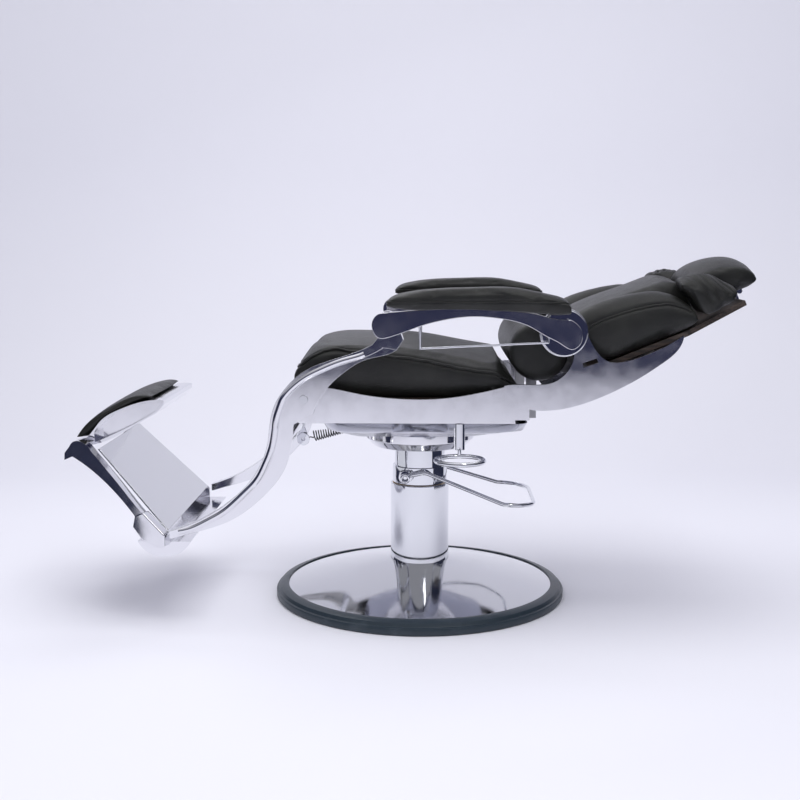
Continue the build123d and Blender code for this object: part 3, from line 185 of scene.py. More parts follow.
def polished(name, colour, smooth, hazy, wave_depth=None):
    """Polished metal: its roughness wanders between two values, and it is slightly wavy."""
    surface = Surface(name, Base_Color=(*colour, 1.0), Metallic=1.0)
    haze = surface.noise(haze_size, haze_detail).step(haze_from, haze_to)
    surface.feed("Roughness", haze * (hazy - smooth) + smooth)
    if wave_depth:
        surface.bump(surface.noise(wave_size, wave_detail), wave_depth)
    return surface


def stainless():
    """Mirror-polished sheet with faint rings about the column, left by turning."""
    surface = polished("stainless_mirror", (0.66, 0.665, 0.685), 0.05, 0.11)
    x, y = surface.axis("X"), surface.axis("Y")
    rings = ((x * x + y * y).root() * ring_pitch + surface.noise(0.02) * ring_wander).sine()
    surface.bump(rings * 0.5 + 0.5, ring_depth)
    return surface


def machined(name, colour):
    """Plain machined metal with fine tool marks."""
    surface = Surface(name, Base_Color=(*colour, 1.0), Metallic=1.0)
    surface.feed("Roughness", surface.noise(0.015) * 0.2 + 0.22)
    surface.bump(surface.noise(0.0006, 2.0, surface.stretched(0.15, 1.0, 1.0)), 0.00002)
    return surface


finish = {
    "aluminium": polished("polished_aluminium", (0.80, 0.80, 0.83), 0.07, 0.13, wave_depth=0.000008),
    "chrome": polished("bright_chrome", (0.76, 0.77, 0.80), 0.03, 0.06, wave_depth=0.00001),
    "stainless": stainless(),
    "steel": machined("machined_steel", (0.42, 0.42, 0.43)),
    "bush_bronze": machined("bare_bronze", (0.60, 0.42, 0.20)),
    "spring_steel": machined("oiled_spring_wire", (0.055, 0.055, 0.06)),
}
# Painted shade and painted reflection: the seat pan's aluminium is darkened and tinted navy to stand in for the dark
# room it mirrors under the seat. It is the same metal as the castings.
painted_shade_pan_metal = polished("shaded_aluminium", (0.40, 0.41, 0.48), 0.08, 0.16, wave_depth=0.000008)
print("metals:", ", ".join(finish))

# %% [markdown]
# ## Leather, thread, rubber, iron and wood
#
# Black upholstery leather isn't flat black: its gloss wears unevenly, and it has pebble grain and soft folds.
# A photograph of leather would repeat and bring its own light, so the grain comes from cells and the folds from
# noise, in one bump. The rubber ring round the base is dark blue-grey with a little dust in patches.


# %% Leather and thread
def leather():
    """Black upholstery leather: pebble grain, soft folds, and a gloss that wear makes uneven."""
    surface = Surface("black_leather", Specular_IOR_Level=0.42)
    tone = surface.noise(0.05, 5.0).step(0.3, 0.75)
    surface.feed("Base Color", surface.mixed(tone, (0.008, 0.0085, 0.0078), (0.016, 0.0165, 0.0145)))
    surface.feed("Roughness", surface.noise(0.022, 4.0) * 0.16 + 0.33)
    grain, folds = surface.pebbles(0.0021).step(0.0, 0.35), surface.noise(0.018, 5.0)
    surface.bump(grain * 0.35 + folds, 0.0006)
    return surface


def thread():
    """Waxed sewing thread, nearly as dark as the leather."""
    surface = Surface("waxed_thread", Base_Color=(0.012, 0.012, 0.011, 1.0))
    surface.feed("Roughness", surface.noise(0.003) * 0.2 + 0.45)
    surface.bump(surface.noise(0.0006, 1.0), 0.0001)
    return surface


finish["leather"] = leather()
seam_thread = thread()
print("leather and thread made")


# %% Rubber, iron and wood
def rubber():
    """Dark blue-grey rubber with dust in patches."""
    surface = Surface("dark_rubber", Specular_IOR_Level=0.55)
    dust = surface.noise(0.04, 6.0).step(0.5, 0.8)
    surface.feed("Base Color", surface.mixed(dust, (0.018, 0.030, 0.042), (0.045, 0.060, 0.075)))
    surface.feed("Roughness", dust * 0.2 + 0.36)
    surface.bump(surface.noise(0.0012, 2.0), 0.00008)
    return surface


def painted_iron():
    """The hidden base plate: cast iron under black paint."""
    surface = Surface("painted_iron", Base_Color=(0.03, 0.03, 0.032, 1.0))
    surface.feed("Roughness", surface.noise(0.01) * 0.2 + 0.42)
    surface.bump(surface.noise(0.002, 3.0), 0.0001)
    return surface


def stained_board():
    """Dark stained plywood with its grain along the chair."""
    surface = Surface("stained_board")
    grain = surface.noise(0.004, 6.0, surface.stretched(0.08, 1.0, 1.0))
    surface.feed("Base Color", surface.mixed(grain.step(0.35, 0.65), (0.030, 0.024, 0.022), (0.075, 0.055, 0.045)))
    surface.feed("Roughness", grain * 0.2 + 0.4)
    surface.bump(grain, 0.0001)
    return surface


finish.update({"ring_rubber": rubber(), "cast_base": painted_iron(), "board": stained_board()})
for node, thing in nodes.items():
    thing.data.materials.clear()
    thing.data.materials.append(finish[slot_of[node]].material)
print("materials:", ", ".join(sorted(surface.material.name for surface in finish.values())))

# %% [markdown]
# ## Pieces and their meshes
#
# Each finished piece sits at the origin with its place in its mesh, rides on the body of the node that it stands
# for, and takes that node's slot. It could be placed and turned as an object, but then it would lose its place
# in the export. Smooth shading with sharp edges only past an angle keeps round metal round and corners crisp.


# %% Make and place a piece
def piece(name, mesh, node, slot=None, replaces=()):
    """An object for the mesh that moves with the node's body."""
    thing = bpy.data.objects.new(name, mesh)
    scene.collection.objects.link(thing)
    slot = slot or slot_of[node]
    mesh.materials.clear()
    mesh.materials.append(finish[slot].material)
    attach(thing, body_of[node])
    if replaces:
        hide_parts(*replaces)
    return thing


def mesh_of(name, bm, smooth_deg):
    """A finished mesh: smooth, with sharp edges only past the given angle."""
    mesh = bpy.data.meshes.new(name)
    bm.normal_update()
    bm.to_mesh(mesh)
    bm.free()
    mesh.shade_smooth()
    mesh.set_sharp_from_angle(angle=math.radians(smooth_deg))
    return mesh


def baked(thing):
    """Replaces an object's mesh by what its modifiers make of it."""
    graph = bpy.context.evaluated_depsgraph_get()
    made = bpy.data.meshes.new_from_object(thing.evaluated_get(graph), depsgraph=graph)
    thing.modifiers.clear()
    thing.data = made


print("pieces can be placed")

# %% [markdown]
# ## Round beads
#
# Welts, rim beads and wire rings are all a round section along a line. A curve with a bevel would do it, but
# its seam and caps are hard to steer, so a circle is extruded from point to point. Each ring is turned so that
# it stays square to the line, and a closed line has its last ring bridged to the first.


# %% Lines and beads
bead_smooth_deg, least_side = 60.0, 0.1


def curve_points(controls, count, closed=False):
    """Evenly many points on a smooth curve through given controls."""
    controls = [Vector(c) for c in controls]
    last = len(controls)
    spans = last if closed else last - 1
    found = []
    for i in range(count if closed else count + 1):
        at = spans * i / count
        k = min(int(at), spans - 1)
        t = at - k
        a, b, c, d = [controls[(k + j) % last] if closed else controls[max(0, min(last - 1, k + j))]
                      for j in (-1, 0, 1, 2)]
        found.append(0.5 * (2 * b + (c - a) * t + (2 * a - 5 * b + 4 * c - d) * t ** 2
                            + (3 * b - a - 3 * c + d) * t ** 3))
    return found


def grown(bm, edges):
    """Extrudes a row of edges in place, and gives the new vertices and edges."""
    made = bmesh.ops.extrude_edge_only(bm, edges=edges)["geom"]
    verts = [part for part in made if isinstance(part, bmesh.types.BMVert)]
    fresh = set(verts)
    return verts, [e for e in bm.edges if e.verts[0] in fresh and e.verts[1] in fresh]


def place_on(path, i, closed):
    """The place and turn of a ring at one point of a path: its Z runs along the path."""
    ahead = path[(i + 1) % len(path)] if closed or i < len(path) - 1 else path[i]
    behind = path[i - 1] if closed or i > 0 else path[i]
    along = (ahead - behind).normalized()
    side = along.cross(Vector((0, 0, 1)))
    if side.length < least_side:
        side = along.cross(Vector((0, 1, 0)))
    side.normalize()
    return Matrix.Translation(path[i]) @ Matrix((side, side.cross(along), along)).transposed().to_4x4()


def bead(name, path, radius, node, slot=None, sides=10, closed=False):
    """A round bead: a circle extruded from point to point of a path."""
    bm = bmesh.new()
    places = [place_on(path, i, closed) for i in range(len(path))]
    bmesh.ops.create_circle(bm, radius=radius, segments=sides, matrix=places[0])
    first = edges = bm.edges[:]
    for here, there in zip(places, places[1:]):
        verts, edges = grown(bm, edges)
        bmesh.ops.transform(bm, matrix=there @ here.inverted(), verts=verts)
    if closed:
        bmesh.ops.bridge_loops(bm, edges=first + edges)
    else:
        bmesh.ops.holes_fill(bm, edges=[e for e in bm.edges if e.is_boundary], sides=0)
    bmesh.ops.recalc_face_normals(bm, faces=bm.faces)
    return piece(name, mesh_of(name, bm, bead_smooth_deg), node, slot=slot)


print("beads can be drawn")

# %% [markdown]
# ## Base and column
#
# The base is a shallow polished dome over a flat plate, with a stepped rubber ring round it, and the column's
# sleeve stands on it.


# %% Turning tools
weld_distance = 0.00002
fine_steps, plain_steps = 256, 192


def turned(name, profile, node, steps):
    """A turned piece about the column's axis, from (radius, height) points, which replaces its node."""
    bm = bmesh.new()
    points = [bm.verts.new((r, 0.0, z)) for r, z in profile]
    edges = [bm.edges.new(pair) for pair in zip(points, points[1:] + points[:1])]
    bmesh.ops.spin(bm, geom=points + edges, cent=(0, 0, 0), axis=(0, 0, 1), angle=math.tau, steps=steps,
                   use_merge=True)
    bmesh.ops.remove_doubles(bm, verts=bm.verts, dist=weld_distance)
    bmesh.ops.recalc_face_normals(bm, faces=bm.faces)
    return piece(name, mesh_of(name, bm, 32.0), node, replaces=(node,))


def bow(start, middle, end, count):
    """Points on a smooth bow through three (radius, height) places."""
    through = [2 * middle[k] - (start[k] + end[k]) / 2 for k in (0, 1)]
    found = []
    for i in range(count + 1):
        t = i / count
        a, b, c = (1 - t) ** 2, 2 * t * (1 - t), t ** 2
        found.append(tuple(a * start[k] + b * through[k] + c * end[k] for k in (0, 1)))
    return found


print("profiles can be turned")

# %% Dome
fit = 0.0003
cover_wall, cover_lip, cover_bow, bow_points = 0.0024, 0.0022, 0.0035, 40
cover_low, cover_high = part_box("base_cover")
cover_radius, cover_foot, cover_top = cover_high.x, cover_low.z, cover_high.z
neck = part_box("outer_sleeve")[1].x + fit
rise = (cover_foot + cover_top) / 2 + cover_bow
outer = bow((neck, cover_top), ((neck + cover_radius) / 2, rise), (cover_radius, cover_foot + cover_lip), bow_points)
inner = [(r, z - cover_wall) for r, z in reversed(outer[:-1])]
turned("dome", outer + [(cover_radius, cover_foot), (cover_radius - cover_lip, cover_foot)] + inner,
       "base_cover", fine_steps)
print(f"dome {2000 * cover_radius:.0f} mm across")

# %% Rubber ring
ring_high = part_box("base_rubber_ring")[1]
plate_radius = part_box("base_plate")[1].x + 0.0001
ring_shares = (
    (0.991, 0.00), (1.000, 0.10), (1.000, 0.50), (0.997, 0.56), (0.990, 0.585), (0.984, 0.60), (0.981, 0.64),
    (0.978, 0.76), (0.974, 0.84), (0.950, 0.955), (0.926, 1.00), (0.918, 1.00), (0.9165, 0.97),
)
ring_profile = [(ring_high.x * r, ring_high.z * z) for r, z in ring_shares]
ring_profile += [(cover_radius + fit, cover_foot - fit), (plate_radius, cover_foot - fit), (plate_radius, 0.0)]
turned("rubber_foot", ring_profile, "base_rubber_ring", fine_steps)
print(f"rubber ring {2000 * ring_high.x:.0f} mm across")


# %% Column sleeve
def tube_profile(radius, inside, low, high, edge):
    """A standing tube with rounded outer edges. The rows beside the edges keep the wall's shading straight."""
    return [
        (inside, low), (radius - edge, low), (radius - edge * 0.3, low + edge * 0.3), (radius, low + edge),
        (radius, low + edge * 1.5), (radius, high - edge * 1.5),
        (radius, high - edge), (radius - edge * 0.3, high - edge * 0.3), (radius - edge, high), (inside, high),
    ]


edge_round, sleeve_wall = 0.0012, 0.004
sleeve_low, sleeve_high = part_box("outer_sleeve")
turned("column_sleeve",
       tube_profile(sleeve_high.x, sleeve_high.x - sleeve_wall, sleeve_low.z, sleeve_high.z, edge_round),
       "outer_sleeve", plain_steps)
print(f"sleeve {2000 * sleeve_high.x:.0f} mm across")

# %% [markdown]
# ## Rigid metal
#
# Cast and pressed metal has no knife edges, and it is the rounded edge that catches the light in the photograph.
# The other rigid pieces have the right shape already, so a copy of each is welded, its flat facets are joined,
# and only its sharp edges are bevelled. Weighted normals keep the broad faces flat beside the bevels.

# %% Rounded copies
flat_deg, sharp_deg, finish_smooth_deg, bevel_rows = 0.4, 28.0, 50.0, 3
round_over = {
    "seat_boss": 0.0020, "seat_pan": 0.0030, "seat_side_panel_right": 0.0022, "seat_side_panel_left": 0.0022,
    "leg_frame_right": 0.0042, "leg_frame_left": 0.0042, "heel_blocks": 0.0030, "foot_bars": 0.0045,
    "foot_plate": 0.0012, "heel_beam": 0.0020, "flap_shell": 0.0016, "back_side_plate_right": 0.0022,
    "back_side_plate_left": 0.0022, "back_shell": 0.0014, "arm_casting_right": 0.0045,
    "arm_casting_left": 0.0045, "arm_pivot_discs": 0.0020, "release_barrel": 0.0010, "pump_collar": 0.0010,
    "headrest_strap": 0.0008, "headrest_bracket": 0.0008, "headrest_clamp": 0.0008, "back_board": 0.0015,
    "spring_bolt": 0.0008, "leg_cross_tie": 0.0012, "back_frame": 0.0010, "seat_board": 0.0015,
    "clamp_screws": 0.0006,
}


def rounded(node, radius):
    """A copy of a rigid node with its edges rounded over, which stands for the node."""
    bm = bmesh.new()
    bm.from_mesh(nodes[node].data)
    bmesh.ops.remove_doubles(bm, verts=bm.verts, dist=weld_distance)
    bmesh.ops.dissolve_limit(
        bm, angle_limit=math.radians(flat_deg), verts=bm.verts, edges=bm.edges, delimit={"NORMAL"})
    bm.normal_update()
    sharp = [e for e in bm.edges if e.is_manifold and e.calc_face_angle(0.0) > math.radians(sharp_deg)]
    bmesh.ops.bevel(bm, geom=sharp, offset=radius, offset_type="OFFSET", segments=bevel_rows, profile=0.5,
                    affect="EDGES", clamp_overlap=True, material=-1)
    name = node + "_finish"
    thing = piece(name, mesh_of(name, bm, finish_smooth_deg), node, replaces=(node,))
    thing.modifiers.new("weights", "WEIGHTED_NORMAL").keep_sharp = True
    baked(thing)
    return thing


metalwork = {node: rounded(node, radius) for node, radius in round_over.items()}
# The seat pan takes the darkened, navy-tinted copy of the aluminium, which is painted shade and painted reflection.
metalwork["seat_pan"].data.materials[0] = painted_shade_pan_metal.material
print("rounded", len(metalwork), "rigid pieces")

# %% [markdown]
# ## Leg rims
#
# Each leg frame is a casting with a thick rounded rim along its outer curve. The solid has the curve but a plain
# edge, and a larger bevel would be clamped by its small facets. A bead sunk into the outer face gives the rim its
# two bright lines. It follows the outline and the frame's slight turn towards the toes.

# %% Bead along each leg frame's rim
rim_places = (
    (-0.118, 0.604), (-0.131, 0.599), (-0.169, 0.588), (-0.206, 0.573), (-0.244, 0.554), (-0.274, 0.531),
    (-0.296, 0.506), (-0.307, 0.480), (-0.314, 0.457), (-0.318, 0.426), (-0.324, 0.396), (-0.336, 0.365),
    (-0.354, 0.330), (-0.381, 0.301), (-0.421, 0.264), (-0.457, 0.242), (-0.493, 0.224), (-0.522, 0.2165),
)
leg_middle, leg_half, leg_turn_place, leg_toe_in = 0.274, 0.012, -0.066, math.radians(2.6)
rim_radius, rim_inset, rim_sink, rim_points, rim_sides = 0.0075, 0.0100, 0.0035, 120, 20


def rim_line(side):
    """The middle of the bead: in from the frame's outer edge, and sunk into its outer face."""
    smooth = curve_points([(x, 0.0, z) for x, z in rim_places], rim_points)
    found = []
    for i, point in enumerate(smooth):
        ahead, behind = smooth[min(i + 1, len(smooth) - 1)], smooth[max(i - 1, 0)]
        along = (ahead - behind).normalized()
        inward = Vector((-along.z, 0.0, along.x))
        face = leg_middle + leg_half - (leg_turn_place - point.x) * math.tan(leg_toe_in) - rim_sink
        found.append(point + inward * rim_inset + Vector((0.0, side * face, 0.0)))
    return found


for side, name in ((1, "right"), (-1, "left")):
    bead("leg_rim_bead_" + name, rim_line(side), rim_radius, "leg_frame_" + name, sides=rim_sides)
print("leg rims beaded")

# %% [markdown]
# ## Heel beam ends
#
# The rounded beam under the heels is closed at both ends by a slightly domed plate. A disc cut flat at the top
# makes its outline, three insets raise its middle, and the extruded rim gives it its thickness.

# %% Caps on the heel beam
beam_x, beam_z, beam_radius, beam_top, beam_half = -0.560, 0.206, 0.0655, 0.176, 0.2288
cap_depth, cap_steps, cap_sides = 0.003, ((0.0015, 0.0010), (0.0060, 0.0010), (0.0120, 0.0008)), 80


def heel_cap(name, side):
    """A slightly domed plate that closes one end of the heel beam."""
    bm = bmesh.new()
    bmesh.ops.create_circle(bm, cap_ends=True, radius=beam_radius, segments=cap_sides)
    bmesh.ops.bisect_plane(bm, geom=bm.verts[:] + bm.edges[:] + bm.faces[:], plane_co=(0.0, beam_top - beam_z, 0.0),
                           plane_no=(0.0, 1.0, 0.0), clear_outer=True)
    bmesh.ops.recalc_face_normals(bm, faces=bm.faces)
    rim = [e for e in bm.edges if e.is_boundary]
    up = 1 if bm.faces[:][0].normal.z > 0 else -1
    for width, height in cap_steps:
        middle = max(bm.faces, key=lambda face: face.calc_area())
        bmesh.ops.inset_region(bm, faces=[middle], thickness=width, depth=up * height)
    verts, edges = grown(bm, rim)
    bmesh.ops.translate(bm, verts=verts, vec=(0.0, 0.0, -cap_depth))
    bmesh.ops.holes_fill(bm, edges=edges, sides=0)
    stand = Matrix(((1, 0, 0, beam_x), (0, 0, side, side * beam_half), (0, 1, 0, beam_z), (0, 0, 0, 1)))
    bmesh.ops.transform(bm, matrix=stand, verts=bm.verts)
    bmesh.ops.recalc_face_normals(bm, faces=bm.faces)
    piece(name, mesh_of(name, bm, 40.0), "heel_beam")


heel_cap("heel_cap_right", 1)
heel_cap("heel_cap_left", -1)
print("heel beam closed")

# %% [markdown]
# ## Upholstery
#
# Every pad is foam in a sewn leather cover, so it is crowned and its edges pull in. It could be sculpted by
# moving points, but cloth pressure gives that shape by itself. Each pad starts from its solid, a little smaller,
# is remeshed evenly, swells, and is held back wherever it would leave the room that the solid gives it.


# %% Even mesh for a pad
smooth_rounds, smooth_factor = 4, 0.5


def even_mesh(name, node, voxel, inset, cut=None):
    """The node's solids, a little smaller, with even faces. What lies before the cut plane is left out."""
    bm = bmesh.new()
    bm.from_mesh(nodes[node].data)
    bmesh.ops.remove_doubles(bm, verts=bm.verts, dist=weld_distance)
    if cut:
        place, ahead = cut
        bmesh.ops.bisect_plane(bm, geom=bm.verts[:] + bm.edges[:] + bm.faces[:], plane_co=place, plane_no=ahead,
                               clear_inner=True)
        bmesh.ops.holes_fill(bm, edges=[e for e in bm.edges if e.is_boundary], sides=0)
    mesh = bpy.data.meshes.new(name)
    bm.to_mesh(mesh)
    bm.free()
    thing = bpy.data.objects.new(name, mesh)
    scene.collection.objects.link(thing)
    remesh = thing.modifiers.new("remesh", "REMESH")
    remesh.mode = "VOXEL"
    remesh.voxel_size = voxel
    baked(thing)
    bm = bmesh.new()
    bm.from_mesh(thing.data)
    for _ in range(smooth_rounds):
        bmesh.ops.smooth_vert(bm, verts=bm.verts, factor=smooth_factor, use_axis_x=True, use_axis_y=True,
                              use_axis_z=True)
    bm.normal_update()
    for vert in bm.verts:
        vert.co -= vert.normal * inset
    bm.to_mesh(thing.data)
    bm.free()
    return thing


print("pads can be remeshed")

# %% Swelling, and the room that a pad has
cloth_frames, cloth_pressure, cloth_quality, cloth_stretch, cloth_bend = 20, 4.0, 5, 12.0, 0.4


def swell(thing, cap):
    """Blows the pad up with cloth pressure and keeps each point within the cap."""
    start = [v.co.copy() for v in thing.data.vertices]
    cloth = thing.modifiers.new("cloth", "CLOTH")
    settings = cloth.settings
    settings.quality = cloth_quality
    settings.use_pressure = True
    settings.uniform_pressure_force = cloth_pressure
    settings.effector_weights.gravity = 0.0
    settings.tension_stiffness, settings.compression_stiffness = cloth_stretch, cloth_stretch
    settings.bending_stiffness = cloth_bend
    cloth.point_cache.frame_start, cloth.point_cache.frame_end = 1, cloth_frames
    for number in range(1, cloth_frames + 1):
        scene.frame_set(number)
    baked(thing)
    for vert, old in zip(thing.data.vertices, start):
        moved = vert.co - old
        if moved.length > cap:
            vert.co = old + moved * (cap / moved.length)
    scene.frame_set(1)


def surface_tree(thing):
    """A search tree over an object's faces."""
    bm = bmesh.new()
    bm.from_mesh(thing.data)
    tree = BVHTree.FromBMesh(bm)
    bm.free()
    return tree


def held_back(thing, node, reach):
    """Brings every point that stands out of the node's solid back to its surface."""
    tree = surface_tree(nodes[node])
    for vert in thing.data.vertices:
        place, normal, _, _ = tree.find_nearest(vert.co)
        if (vert.co - place).dot(normal) > reach:
            vert.co = place + normal * reach


print("pads can swell")

# %% Stuffed pads
shrink, proud = 0.004, 0.0004
back_angle = math.radians(22.0)
hip = Vector((0.252, 0.0, 0.580))


def on_back(along, across, out):
    """A place on the back: along it from the hip, across the chair, and out of its face."""
    c, s = math.cos(back_angle), math.sin(back_angle)
    return Vector((hip.x + along * c - out * s, across, hip.z + along * s + out * c))


def stuffed(node, voxel, cap, inset=shrink, cut=None):
    """A leather pad that stands for a soft solid."""
    name = node + "_leather"
    thing = even_mesh(name, node, voxel, inset, cut)
    swell(thing, cap)
    held_back(thing, node, proud)
    subdivide = thing.modifiers.new("subdivide", "SUBSURF")
    subdivide.levels = subdivide.render_levels = 1
    baked(thing)
    held_back(thing, node, proud)
    mesh = thing.data
    mesh.name = name
    mesh.shade_smooth()
    bpy.data.objects.remove(thing)
    made = piece(name, mesh, node, replaces=(node,))
    return made


along_back = (on_back(1.0, 0.0, 0.0) - on_back(0.0, 0.0, 0.0)).normalized()
wing_cut = (on_back(0.338, 0.0, 0.0), along_back)
pads = {
    "seat_cushion": stuffed("seat_cushion", 0.008, 0.012),
    "lumbar_roll": stuffed("lumbar_roll", 0.007, 0.008),
    "back_centre_pad": stuffed("back_centre_pad", 0.008, 0.010),
    "back_bolsters": stuffed("back_bolsters", 0.007, 0.010),
    "back_wings": stuffed("back_wings", 0.004, 0.006, inset=0.002, cut=wing_cut),
    "headrest_cushion": stuffed("headrest_cushion", 0.006, 0.010),
    "arm_pad_right": stuffed("arm_pad_right", 0.005, 0.006),
    "arm_pad_left": stuffed("arm_pad_left", 0.005, 0.006),
    "calf_pad": stuffed("calf_pad", 0.005, 0.004, inset=0.002),
}
print("stuffed", len(pads), "pads")

# %% [markdown]
# ## Seams
#
# The covers are sewn: a thin leather welt runs round the seat, the bolsters and the armrests, and stitches hold
# the folds of the wings. The remesh would erase such thin lines, so they come after it. A line is drawn through
# a few places, laid on the pad, and pressed in as a groove, and a welt or a row of short threads follows it.


# %% Lines and grooves on a pad
settle_rounds = 3


def laid_on(thing, controls, count, closed=False, lift=0.0):
    """A smooth line through the controls, laid on the pad's surface."""
    tree = surface_tree(thing)
    found = []
    for point in curve_points(controls, count, closed):
        place, normal, _, _ = tree.find_nearest(point)
        found.append(place + normal * lift)
    smoothed = found[:]
    for _ in range(settle_rounds):
        for i in range(0 if closed else 1, len(found) if closed else len(found) - 1):
            smoothed[i] = (found[i - 1] + found[i] * 2 + found[(i + 1) % len(found)]) / 4
        found = smoothed[:]
    return found


def groove(thing, line, width, depth):
    """Presses the surface in along a line of points."""
    tree = KDTree(len(line))
    for i, point in enumerate(line):
        tree.insert(point, i)
    tree.balance()
    for vert in thing.data.vertices:
        _, _, distance = tree.find(vert.co)
        if distance < width:
            near = 1.0 - distance / width
            vert.co -= vert.normal * depth * near * near * (3 - 2 * near)


print("lines can be laid on pads")

# %% Stitches
stitch_length, stitch_gap, stitch_radius = 0.0045, 0.0022, 0.0005


def stitches(name, line, node):
    """A row of short threads along a line."""
    bm = bmesh.new()
    travelled, start = 0.0, None
    for here, there in zip(line, line[1:]):
        if start is None:
            start = here
        travelled += (there - here).length
        if travelled >= stitch_length:
            stretch = there - start
            turn = stretch.to_track_quat("Z", "Y").to_matrix().to_4x4()
            thin = Matrix.Diagonal((stitch_radius, stitch_radius, stretch.length / 2, 1.0))
            bmesh.ops.create_icosphere(bm, subdivisions=1, radius=1.0,
                                       matrix=Matrix.Translation((start + there) / 2) @ turn @ thin)
            travelled, start = -stitch_gap, None
    thing = piece(name, mesh_of(name, bm, bead_smooth_deg), node, slot="leather")
    thing.data.materials[0] = seam_thread.material


print("stitches can be sewn")

# %% Seat seams
welt_points, welt_radius = 300, 0.0028
seat_welt_side = (
    (0.215, 0.246, 0.556), (0.129, 0.247, 0.566), (0.066, 0.247, 0.576), (0.002, 0.247, 0.587),
    (-0.055, 0.247, 0.596), (-0.120, 0.246, 0.607), (-0.190, 0.243, 0.611), (-0.222, 0.238, 0.603),
)
seat_welt_front = ((-0.262, 0.222, 0.575), (-0.277, 0.170, 0.566), (-0.281, 0.080, 0.565), (-0.282, 0.0, 0.565))
half_welt = seat_welt_side + seat_welt_front
seat_welt = half_welt + tuple((x, -y, z) for x, y, z in reversed(half_welt[:-1]))
stitch_line = [(x, y, z + 0.011) for x, y, z in seat_welt]
seat = pads["seat_cushion"]
groove(seat, laid_on(seat, seat_welt, welt_points, lift=0.0006), 0.012, 0.003)
bead("seat_welt", laid_on(seat, seat_welt, welt_points, lift=0.0012), welt_radius, "seat_cushion", slot="leather")
stitches("seat_stitches", laid_on(seat, stitch_line, 900, lift=0.0004), "seat_cushion")
print("seat seams laid")

# %% Quilted wings
quilt_gap, quilt_count = 0.020, 4
quilt_places = ((0.350, 0.160, 0.055), (0.362, 0.190, 0.050), (0.376, 0.225, 0.020), (0.388, 0.240, -0.020))
sides = ((-1, "left"), (1, "right"))
wings = pads["back_wings"]
for side, side_name in sides:
    for i in range(quilt_count):
        row = [on_back(along + quilt_gap * i, across * side, out) for along, across, out in quilt_places]
        groove(wings, laid_on(wings, row, 60), 0.010, 0.0025)
        stitches(f"wing_stitches_{side_name}_{i + 1}", laid_on(wings, row, 160, lift=0.0002), "back_wings")
print("quilted", len(sides) * quilt_count, "rows")

# %% Bolster welts
bolster_places = ((0.112, 0.248, 0.020), (0.150, 0.253, 0.030), (0.230, 0.253, 0.026), (0.300, 0.250, 0.010),
                  (0.345, 0.244, -0.020))
bolsters = pads["back_bolsters"]
for side, side_name in sides:
    row = [on_back(along, across * side, out) for along, across, out in bolster_places]
    groove(bolsters, laid_on(bolsters, row, 120, lift=0.0006), 0.009, 0.002)
    bead("bolster_welt_" + side_name, laid_on(bolsters, row, 120, lift=0.0008), 0.0022, "back_bolsters",
         slot="leather")
print("bolster welts laid")


# %% Armrest welts
corner_share, corner_cut = 0.25, 0.3


def pad_loop(node, inset_x, inset_y, height):
    """A closed line round a pad, at a height between its box's corners."""
    low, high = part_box(node)
    z = low.z + (high.z - low.z) * height
    x0, x1, y0, y1 = low.x + inset_x, high.x - inset_x, low.y + inset_y, high.y - inset_y
    cx, cy = (x1 - x0) * corner_share, (y1 - y0) * corner_share
    dx, dy, middle = cx * corner_cut, cy * corner_cut, (x0 + x1) / 2
    return [(x, y, z) for x, y in (
        (x0, y0 + cy), (x0 + dx, y0 + dy), (x0 + cx, y0), (middle, y0), (x1 - cx, y0), (x1 - dx, y0 + dy),
        (x1, y0 + cy), (x1, y1 - cy), (x1 - dx, y1 - dy), (x1 - cx, y1), (middle, y1), (x0 + cx, y1),
        (x0 + dx, y1 - dy), (x0, y1 - cy))]


for name in ("arm_pad_right", "arm_pad_left"):
    loop = pad_loop(name, 0.004, 0.002, 0.50)
    groove(pads[name], laid_on(pads[name], loop, 260, closed=True, lift=0.0004), 0.006, 0.0012)
    bead(name + "_welt", laid_on(pads[name], loop, 260, closed=True, lift=0.0006), 0.0016, name, slot="leather",
         closed=True)
print("armrest welts laid")

# %% [markdown]
# ## Pedal hub
#
# A bright ring with a dark bore marks the pedal's pivot in the photograph. The pedal's solid has a plain eye, so
# one closed bead round it gives it the rolled rim that chromed wire ends have.

# %% Pedal hub
hub_place = Vector((-0.033, -0.083, 0.289))
hub_radius, hub_wire, hub_steps = 0.0085, 0.0035, 40
hub_line = [hub_place + hub_radius * Vector((math.cos(math.tau * i / hub_steps), 0.0,
                                             math.sin(math.tau * i / hub_steps))) for i in range(hub_steps)]
bead("pedal_hub_ring", hub_line, hub_wire, "pump_pedal", closed=True)
print("pedal hub ringed")

# %% [markdown]
# ## Floor and backdrop
#
# The photograph was taken on pale paper that bends up behind the chair, so no corner shows. An L of two sheets
# with its fold bevelled round makes it. It ends in front of the camera's place, because the polished faces in the
# photograph mirror the end of the floor and a dark room behind it.

# %% Floor and backdrop
floor_half, floor_front, wall_place, wall_height, bend, bend_rows = 6.0, 4.9, 2.6, 5.0, 1.2, 16


def paper():
    """Pale lavender-grey paper with hardly visible clouds."""
    surface = Surface("pale_paper", Roughness=0.9, Specular_IOR_Level=0.1)
    clouds = surface.noise(1.2, 2.0)
    surface.feed("Base Color", surface.mixed(clouds, (0.78, 0.78, 0.845), (0.80, 0.80, 0.860)))
    return surface


def staged(name, bm, surface):
    """An object that isn't part of the chair."""
    thing = bpy.data.objects.new(name, mesh_of(name, bm, bead_smooth_deg))
    scene.collection.objects.link(thing)
    thing.data.materials.append(surface.material)
    return thing


